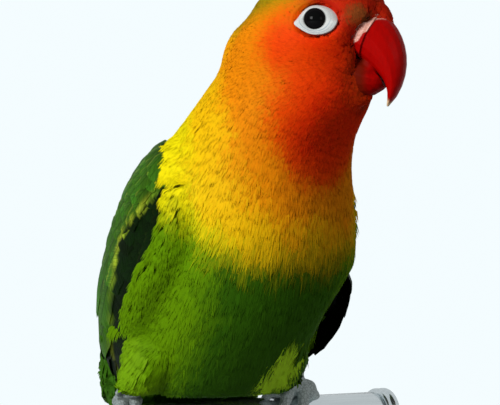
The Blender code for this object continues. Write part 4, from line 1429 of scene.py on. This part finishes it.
class LOVEBIRD_OT_bill(bpy.types.Operator):
    """Makes the bill and the cere smooth, with their horn and soft skin"""

    bl_idname = "lovebird.bill"
    bl_label = "Bill"

    def execute(self, context):
        soft = context.scene.lovebird_soft
        step = context.scene.lovebird_sizes.bill_step / MM
        tip = in_head(13.7, 0.0, 0.0)
        tip[2] = box_of("bill_upper")[0][2]

        def cere_colour(place):
            grain = noise(place, 3.0, 4.0)
            deep = times(soft.cere, 0.85, 0.7, 0.62)
            return mix(slope(grain, 0.35, 0.7), deep, times(soft.cere, 1.2)), grain

        def upper_horn(place):
            grain = noise(stretched(place, (1.6, 1.6, 0.35)), 1.1, 4.0)
            unrest = grain - 0.5
            reach = along_line(place, UP + 1.2 * HEADING, tip) + unrest * 1.5
            colour = mix(slope(reach, 0.7, 2.4), soft.bill_tip, soft.bill)
            streak = mix(0.35, colour, times(soft.bill, 0.62))
            colour = mix(slope(grain, 0.35, 0.75), colour, streak)
            across = abs(along_line(place, HEAD_LEFT, HEAD_ORIGIN))
            bend = across * (0.4 + across * 0.11)
            past = along_line(place, HEADING, HEAD_ORIGIN) + bend - 14.5 + unrest * 0.5
            upper = slope(along_line(place, UP, HEAD_ORIGIN), -2.4, -0.4)
            return mix(fade(past, -0.1, 0.45) * upper, colour, cere_colour(place)[0]), grain

        def lower_horn(place):
            grain = noise(place, 1.1, 4.0)
            # The lower bill is the bill's red at half to three quarters, mixed by grain: painted shade, as
            # it lies under the upper bill.
            colour = mix(slope(grain, 0.3, 0.7), times(soft.bill, 0.5), times(soft.bill, 0.75))
            # Behind the bill's rear edge the lower bill turns to painted shade, where it goes in under the
            # cheek feathers.
            ahead = along_line(place, HEADING, HEAD_ORIGIN)
            return mix(slope(ahead, 9.4, 11.2), BILL_REAR_SHADE, colour), grain

        upper_finish = soft_material("bill horn", upper_horn, 0.36, 0.03, 0.05)
        lower_finish = soft_material("lower bill horn", lower_horn, 0.5, 0.03, 0.02)
        gape = [(in_head(10.4, 1.5 * sign, -7.0), (1.9, 1.2, 3.0)) for sign in (1, -1)]
        for name, finish, pads in (("bill_upper", upper_finish, ()), ("bill_lower", lower_finish, gape)):
            points, normals, faces = remeshed((name,), step, 5, 0.12, pads)
            add_piece(f"{name}_horn", points, faces, finish, (name,))

        # The cere is drawn in round its axis and pushed ahead a little where it meets the horn.
        points, normals, faces = remeshed(("cere",), 0.14, 6, 0.36)
        axis = unit(0.8 * HEADING - 0.6 * UP)
        radial = normals - axis * (normals @ axis)[:, None]
        ahead_of = smooth_step(-0.2, 0.4, (points - BILL_BASE) @ axis)
        points = points - radial * 0.34 + axis * (0.45 * ahead_of)[:, None]
        front = float(((points - HEAD_ORIGIN) @ axis).max())

        def cere_to_horn(place):
            pink, grain = cere_colour(place)
            upright = along_line(place, UP, HEAD_ORIGIN)
            reach = (0.9 - upright).at_least(0.0).at_most(1.6) * 0.85
            reach += (-2.0 - upright).at_least(0.0) * 1.3
            past = reach - (front - along_line(place, axis, HEAD_ORIGIN))
            return mix(slope(past, -0.1, 0.25), pink, soft.bill), grain

        finish = soft_material("cere skin", cere_to_horn, 0.5, 0.05, 0.08)
        add_piece("cere_skin", points, faces, finish, ("cere",))
        return {"FINISHED"}


class LOVEBIRD_OT_eyes(bpy.types.Operator):
    """Makes the eyes, their lids and the bare rings of skin"""

    bl_idname = "lovebird.eyes"
    bl_label = "Eyes"

    def execute(self, context):
        soft = context.scene.lovebird_soft
        for side, sign in SIDES.items():
            ball = EYES[side] - HEADING * 0.27
            low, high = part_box(f"eye_{side}")
            radius = float(high.z - low.z) / 2 / MM
            out = unit(HEAD_LEFT * sign * 0.97 + HEADING * 0.24 + UP * 0.10)

            def iris(place):
                off = distance_to(place, ball + out * radius)
                colour = mix(slope(off, 1.0, 1.15), PUPIL, soft.iris)
                return mix(slope(off, 1.75, 2.0), colour, EYE_EDGE), None

            def bare(place):
                grain = noise(place, 4.0, 3.0)
                colour = mix(slope(grain, 0.3, 0.7), times(soft.eye_ring, 0.9), soft.eye_ring)
                colour = mix(attribute(place.tree, "fold") * 0.9, colour, soft.eye_ring_fold)
                return mix(attribute(place.tree, "lid"), colour, LID), grain

            turns = np.linspace(0.0, math.pi, 40)
            profile = [(-radius * math.cos(turn), max(0.01, radius * math.sin(turn))) for turn in turns]
            points, faces = lathe(profile, out, ball, 64)
            finish = soft_material(f"eye {side}", iris, 0.07, 0.0, 0.05)
            add_piece(f"eyeball_{side}", points, faces, finish, (f"eye_{side}",))
            points, faces, values = eye_ring(ball, out, radius)
            finish = soft_material(f"eye ring {side}", bare, 0.5, 0.05, 0.2)
            replaced = (f"eye_ring_{side}",)
            add_piece(f"eye_ring_skin_{side}", points, faces, finish, replaced, values)
        return {"FINISHED"}


def eye_ring(ball, out, radius, turns=120, steps=26):
    """The bare skin round an eye: a shallow dish from the lid's edge to the feathers, drawn out behind."""
    ahead = unit(HEADING - out * out.dot(HEADING))
    up = unit(UP - out * out[2] - ahead * ahead[2])
    tree = node_tree("head")
    angle = np.linspace(0, 2 * math.pi, turns, endpoint=False)
    behind = np.maximum(-np.cos(angle), 0)
    rim_x = 0.25 + 3.85 * np.cos(angle) - 0.12 * behind**12
    rim_y = -0.16 + 2.80 * np.sin(angle) * (1 - 0.42 * behind**2.5) - 0.75 * behind**4
    rim_height = []
    for x, y in zip(rim_x * 1.14, rim_y * 1.16):
        start = ball + out * 12 + ahead * x + up * y
        found = tree.ray_cast(start.tolist(), (-out).tolist(), 14)
        rim_height.append(np.nan if found[0] is None else float((np.array(found[0]) - ball) @ out))
    rim_height = np.array(rim_height)
    good = np.isfinite(rim_height)
    rim_height = np.interp(angle, angle[good], rim_height[good], period=2 * math.pi)
    for _ in range(12):
        rim_height = (np.roll(rim_height, 1) + rim_height * 2 + np.roll(rim_height, -1)) / 4

    # The dish runs from the opening between the lids out to the rim, with two creases below the eye.
    opening = 0.81 * radius
    lid_height = math.sqrt(radius**2 - opening**2)
    share = np.linspace(0, 1, steps)[:, None]
    ease = share**0.8
    x = opening * np.cos(angle) * (1 - ease) + rim_x * ease
    y = opening * np.sin(angle) * (1 - ease) + rim_y * ease
    low = 0.5 - 0.5 * np.sin(angle)
    wander = 0.05 * np.sin(angle * 2 + 0.6) + 0.02 * np.sin(angle * 5)
    creases = np.exp(-(((share - 0.36 - wander) / 0.055) ** 2)) * low**1.5
    creases = creases + np.exp(-(((share - 0.68 - wander) / 0.045) ** 2)) * low**3 * 0.9
    edge = np.exp(-((share / 0.05) ** 2)) * np.ones_like(angle)
    height = (lid_height + 0.16) * (1 - share) + (rim_height - 0.1) * share
    height = height + 0.20 * np.sin(math.pi * share) ** 0.8
    height = height - 0.07 * creases - 0.10 * edge
    inside = opening * 0.97
    inner = ball + ahead * (inside * np.cos(angle))[:, None] + up * (inside * np.sin(angle))[:, None]
    inner = inner + out * (lid_height - 0.5)
    top = ball + ahead * x[..., None] + up * y[..., None] + out * height[..., None]
    under = top[-1] - out * 1.1
    middle_under = inner * 0.5 + under * 0.5 - out * 0.3
    rows = np.concatenate([inner[None], top, under[None], middle_under[None]])
    faces = band_faces(len(rows), turns, closed=True)[:, (0, 3, 2, 1)]
    if float(np.cross(ahead, up) @ out) < 0:
        faces = faces[:, ::-1]
    blank = np.zeros((1, turns))
    fold = np.minimum(np.concatenate([blank, creases, blank, blank]).ravel(), 1)
    lid = np.concatenate([blank + 1, edge, blank, blank]).ravel()
    return rows.reshape(-1, 3), faces, {"fold": fold, "lid": lid}


class LOVEBIRD_OT_feet(bpy.types.Operator):
    """Makes the scaled feet and their claws"""

    bl_idname = "lovebird.feet"
    bl_label = "Feet"

    def execute(self, context):
        soft = context.scene.lovebird_soft
        sizes = context.scene.lovebird_sizes
        pitch = sizes.scale_pitch / MM
        pads = {side: [] for side in SIDES}
        for x, y, above, radius in (
            (22.3, -1.4, 1.2, 2.3),
            (24.0, -0.4, -0.3, 2.0),
            (16.6, -2.6, 2.2, 1.5),
            (14.6, -2.4, 1.2, 1.2),
            (12.8, -2.0, 0.6, 1.0),
        ):
            pads["left"].append((np.array((x, y, RAIL_TOP + above)), (radius,) * 3))

        def scaled(place):
            feeds = {"Vector": place, "Scale": 1.5}
            cells = added(place.tree, "TexVoronoi", feeds, "Distance", feature="DISTANCE_TO_EDGE")
            edge = slope(cells, 0.02, 0.16)
            colour = mix(slope(noise(place, 2.5, 3.0), 0.3, 0.7), soft.foot, soft.foot_scale)
            colour = mix(edge, times(soft.foot, 0.7), colour)
            # Feet on the bird's right of the middle are multiplied by a grey: painted shade on the right
            # foot.
            foot_shade = mix(slope(along_line(place, (1, 0, 0)), -5, 5), RIGHT_FOOT_SHADE, (1.0, 1.0, 1.0))
            return mix(1.0, colour, foot_shade, "MULTIPLY"), edge

        def horn(place):
            grain = noise(place, 2.0, 3.0)
            return mix(grain, soft.claw, times(soft.claw, 3.0)), grain

        foot_finish = soft_material("foot skin", scaled, 0.6, 0.06, 0.2)
        claw_finish = soft_material("claw horn", horn, 0.35, 0.03, 0.5)
        for side in SIDES:
            points, normals, faces = remeshed((f"foot_{side}",), sizes.foot_step / MM, 3, 0.0, pads[side])
            # Scales overlap along each toe where it wraps the rail.
            from_rail = points[:, 1:] - RAIL[1:]
            angle = np.arctan2(from_rail[:, 1], from_rail[:, 0])
            phase = (angle * TOE_REACH / pitch) % 1.0
            outward = np.clip((np.hypot(from_rail[:, 1], from_rail[:, 0]) - 6.2) / 0.8, 0, 1)
            scale = 0.16 * (np.minimum(phase * 4, 1 - phase) - 0.3) * outward
            points = points + normals * scale[:, None]
            add_piece(f"foot_skin_{side}", points, faces, foot_finish, (f"foot_{side}",))
            claws = [f"claw_{side}_{number}" for number in (1, 2, 3, 4)]
            points, normals, faces = remeshed(claws, 0.16, 3)
            add_piece(f"claws_{side}", points, faces, claw_finish, claws)
        return {"FINISHED"}


def turned(name, node, axis, profile_of, material, segments=96):
    """A turned piece in place of a round CAD node that lies along X (axis 0) or Z (axis 2)."""
    low, high = box_of(node)
    start = (low + high) / 2
    start[axis] = low[axis]
    across = 2 - axis
    profile = profile_of((high[across] - low[across]) / 2, high[axis] - low[axis])
    points, faces = lathe(profile, np.eye(3)[axis], start, segments)
    add_piece(name, points, faces, material, (node,))


def rail_profile(radius, length):
    """A plain bar with eased ends."""
    profile = [(0, CLOSED), (0, radius - 0.5), (0.15, radius - 0.15), (0.5, radius), (length * 0.5, radius)]
    profile += [(length - 0.5, radius), (length - 0.1, radius - 0.2), (length, radius - 0.5)]
    return profile + [(length, CLOSED)]


def collar_profile(outer, wide):
    """An end collar with a rounded lip at each side and a sunk band between them."""
    inner = outer - 0.8
    profile = [(0, CLOSED), (0, outer - 0.3), (0.12, outer - 0.08), (0.35, outer), (0.8, outer)]
    profile += [(1.0, outer - 0.2), (1.2, inner), (wide - 1.3, inner), (wide - 1.1, outer - 0.2)]
    profile += [(wide - 0.9, outer), (wide - 0.4, outer), (wide - 0.15, outer - 0.1), (wide, outer - 0.4)]
    return profile + [(wide, outer - 1.4), (wide - 0.5, outer - 1.7), (wide - 0.5, CLOSED)]


def disc_profile(radius, thick):
    """A thick disc with a rounded rim."""
    profile = [(0, CLOSED), (0, radius - 0.8), (0.2, radius - 0.3), (0.6, radius), (thick - 1.4, radius)]
    profile += [(thick - 0.6, radius - 0.25), (thick - 0.15, radius - 0.8), (thick, radius - 1.6)]
    return profile + [(thick, CLOSED)]


def rod_profile(radius, tall):
    """A rod with its top edge eased."""
    return [(0, CLOSED), (0, radius), (tall - 0.1, radius), (tall, radius - 0.1), (tall, CLOSED)]


def drawn_metal(name, scale, grain_scale, dark, pale, roughness, metallic):
    """Metal with fine lines drawn along it."""

    def lines(place):
        grain = noise(stretched(place, scale), grain_scale, 3.0)
        return mix(grain, dark, pale), grain

    return soft_material(name, lines, roughness, 0.01, 0.5, metallic)


class LOVEBIRD_OT_perch(bpy.types.Operator):
    """Turns the short rail with its end collar"""

    bl_idname = "lovebird.perch"
    bl_label = "Perch"

    def execute(self, context):
        metal = context.scene.lovebird_metal
        lines = (0.05, 2.2, 2.2)
        finish = drawn_metal("polished rail", lines, 1.2, metal.rail_lines, metal.rail, 0.13, 0.9)
        turned("rail", "perch_rail", 0, rail_profile, finish)
        turned("rail_collar", "perch_cap", 0, collar_profile, finish)
        return {"FINISHED"}


class LOVEBIRD_OT_stand(bpy.types.Operator):
    """Turns the plain stand: a disc and two rods"""

    bl_idname = "lovebird.stand"
    bl_label = "Stand"

    def execute(self, context):
        metal = context.scene.lovebird_metal

        def mottled(place):
            grain = noise(place, 1.4, 5.0)
            return mix(slope(grain, 0.3, 0.7), metal.paint_mottle, metal.paint), grain

        paint = soft_material("stand paint", mottled, 0.42, 0.02, 0.4)
        turned("stand_disc", "stand_base", 2, disc_profile, paint, 192)
        lines = (3.0, 3.0, 0.1)
        steel = drawn_metal("brushed rod", lines, 1.5, metal.rod_lines, metal.rod, 0.28, 1.0)
        for side in SIDES:
            turned(f"stand_post_{side}", f"stand_rod_{side}", 2, rod_profile, steel, 48)
        return {"FINISHED"}


class LOVEBIRD_OT_stage(bpy.types.Operator):
    """Sets the pale floor, the soft studio light and the camera"""

    bl_idname = "lovebird.stage"
    bl_label = "Stage"

    def execute(self, context):
        studio = context.scene.lovebird_studio
        scene = context.scene
        scene.view_settings.view_transform = "Standard"
        world = bpy.data.worlds.new("studio")
        scene.world = world
        world.use_nodes = True
        tree = world.node_tree
        lamp = tree.nodes["Background"]
        feed(lamp.inputs["Color"], (1, 1, 1))
        feed(lamp.inputs["Strength"], studio.around)
        seen, mirrored = self.rays(tree)
        sky = added(tree, "Background", {"Color": studio.sky}, 0)
        feeds = {0: seen.at_least(mirrored * 0.55), 1: Signal(lamp.outputs[0]), 2: sky}
        feed(tree.nodes["World Output"].inputs["Surface"], added(tree, "MixShader", feeds, 0))

        bm = bmesh.new()
        bmesh.ops.create_circle(bm, cap_ends=True, radius=FLOOR_RADIUS, segments=128)
        mesh = bpy.data.meshes.new("studio_floor")
        bm.to_mesh(mesh)
        bm.free()
        floor = bpy.data.objects.new("studio_floor", mesh)
        scene.collection.objects.link(floor)
        floor.location.z = -0.2 * MM

        def pale(place):
            return mix(noise(place, 0.05), studio.floor, times(studio.floor, 1.02)), None

        material = soft_material("studio floor", pale, 0.7, 0.0, 0.1)
        tree = material.node_tree
        shader = tree.nodes["Principled BSDF"].inputs
        seen, mirrored = self.rays(tree)
        seen = seen.at_least(mirrored)
        pale_floor = Signal(shader["Base Color"].links[0].from_socket)
        feed(shader["Base Color"], mix(seen, (0.10, 0.10, 0.10), pale_floor))
        feed(shader["Emission Color"], studio.sky)
        feed(shader["Emission Strength"], seen * 0.5)
        mesh.materials.append(material)

        x, y, above_rail = AIM
        aim = Vector((x * MM, y * MM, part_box("perch_rail")[1].z + above_rail * MM))
        back = Vector((math.sin(studio.swing), -math.cos(studio.swing), 0))
        camera = bpy.data.cameras.new("camera")
        camera.lens = studio.lens
        camera.sensor_width = 36
        camera.clip_start = 0.02
        scene.camera = self.aimed("camera", camera, aim, back, studio.distance)
        self.light("key", aim, studio.swing - math.radians(38), math.radians(17), 0.75, 0.26, studio.key)
        self.light("front", aim, studio.swing + math.radians(48), math.radians(12), 0.8, 0.30, studio.fill)
        return {"FINISHED"}

    @staticmethod
    def rays(tree):
        """Masks for what the camera sees itself and for what it sees mirrored."""
        path = tree.nodes.new("ShaderNodeLightPath").outputs
        return Signal(path["Is Camera Ray"]), Signal(path["Is Glossy Ray"])

    @staticmethod
    def aimed(name, data, aim, back, far):
        """A camera or a light at a distance back from the point that it faces."""
        holder = bpy.data.objects.new(name, data)
        holder.location = aim + back * far
        holder.rotation_euler = (-back).to_track_quat("-Z", "Y").to_euler()
        bpy.context.scene.collection.objects.link(holder)
        return holder

    def light(self, name, aim, turn, rise, far, size, power):
        """A square soft light aimed at the bird."""
        lamp = bpy.data.lights.new(name, "AREA")
        lamp.energy = power
        lamp.size = size
        flat = math.cos(rise)
        back = Vector((math.sin(turn) * flat, -math.cos(turn) * flat, math.sin(rise)))
        self.aimed(name, lamp, aim, back, far)


class LOVEBIRD_PT_panel(bpy.types.Panel):
    """Lists the lovebird's settings and the steps that build it"""

    bl_idname = "LOVEBIRD_PT_panel"
    bl_label = "Lovebird"
    bl_space_type = "VIEW_3D"
    bl_region_type = "UI"
    bl_category = "Lovebird"

    def draw(self, context):
        for group in SETTINGS:
            settings = getattr(context.scene, group)
            for name in settings.__annotations__:
                self.layout.prop(settings, name)
        for step in STEPS:
            self.layout.operator(step.bl_idname)


SETTINGS = {
    "lovebird_sizes": LovebirdSizes,
    "lovebird_plumage": LovebirdPlumageColours,
    "lovebird_soft": LovebirdSoftColours,
    "lovebird_metal": LovebirdMetalColours,
    "lovebird_studio": LovebirdStudio,
}
STEPS = (
    LOVEBIRD_OT_stage,
    LOVEBIRD_OT_materials,
    LOVEBIRD_OT_skin,
    LOVEBIRD_OT_coat,
    LOVEBIRD_OT_wings,
    LOVEBIRD_OT_tail,
    LOVEBIRD_OT_bill,
    LOVEBIRD_OT_eyes,
    LOVEBIRD_OT_feet,
    LOVEBIRD_OT_perch,
    LOVEBIRD_OT_stand,
)


def register():
    """Registers the settings, the steps and the panel."""
    for group in SETTINGS.values():
        bpy.utils.register_class(group)
    for name, group in SETTINGS.items():
        setattr(bpy.types.Scene, name, bpy.props.PointerProperty(type=group))
    for step in STEPS:
        bpy.utils.register_class(step)
    bpy.utils.register_class(LOVEBIRD_PT_panel)


def unregister():
    """Takes them away again, in the opposite order."""
    bpy.utils.unregister_class(LOVEBIRD_PT_panel)
    for step in reversed(STEPS):
        bpy.utils.unregister_class(step)
    for name in SETTINGS:
        delattr(bpy.types.Scene, name)
    for group in reversed(SETTINGS.values()):
        bpy.utils.unregister_class(group)


def main():
    """Builds every piece in order."""
    register()
    for step in STEPS:
        area, name = step.bl_idname.split(".")
        getattr(getattr(bpy.ops, area), name)()


if __name__ == "__main__":
    main()
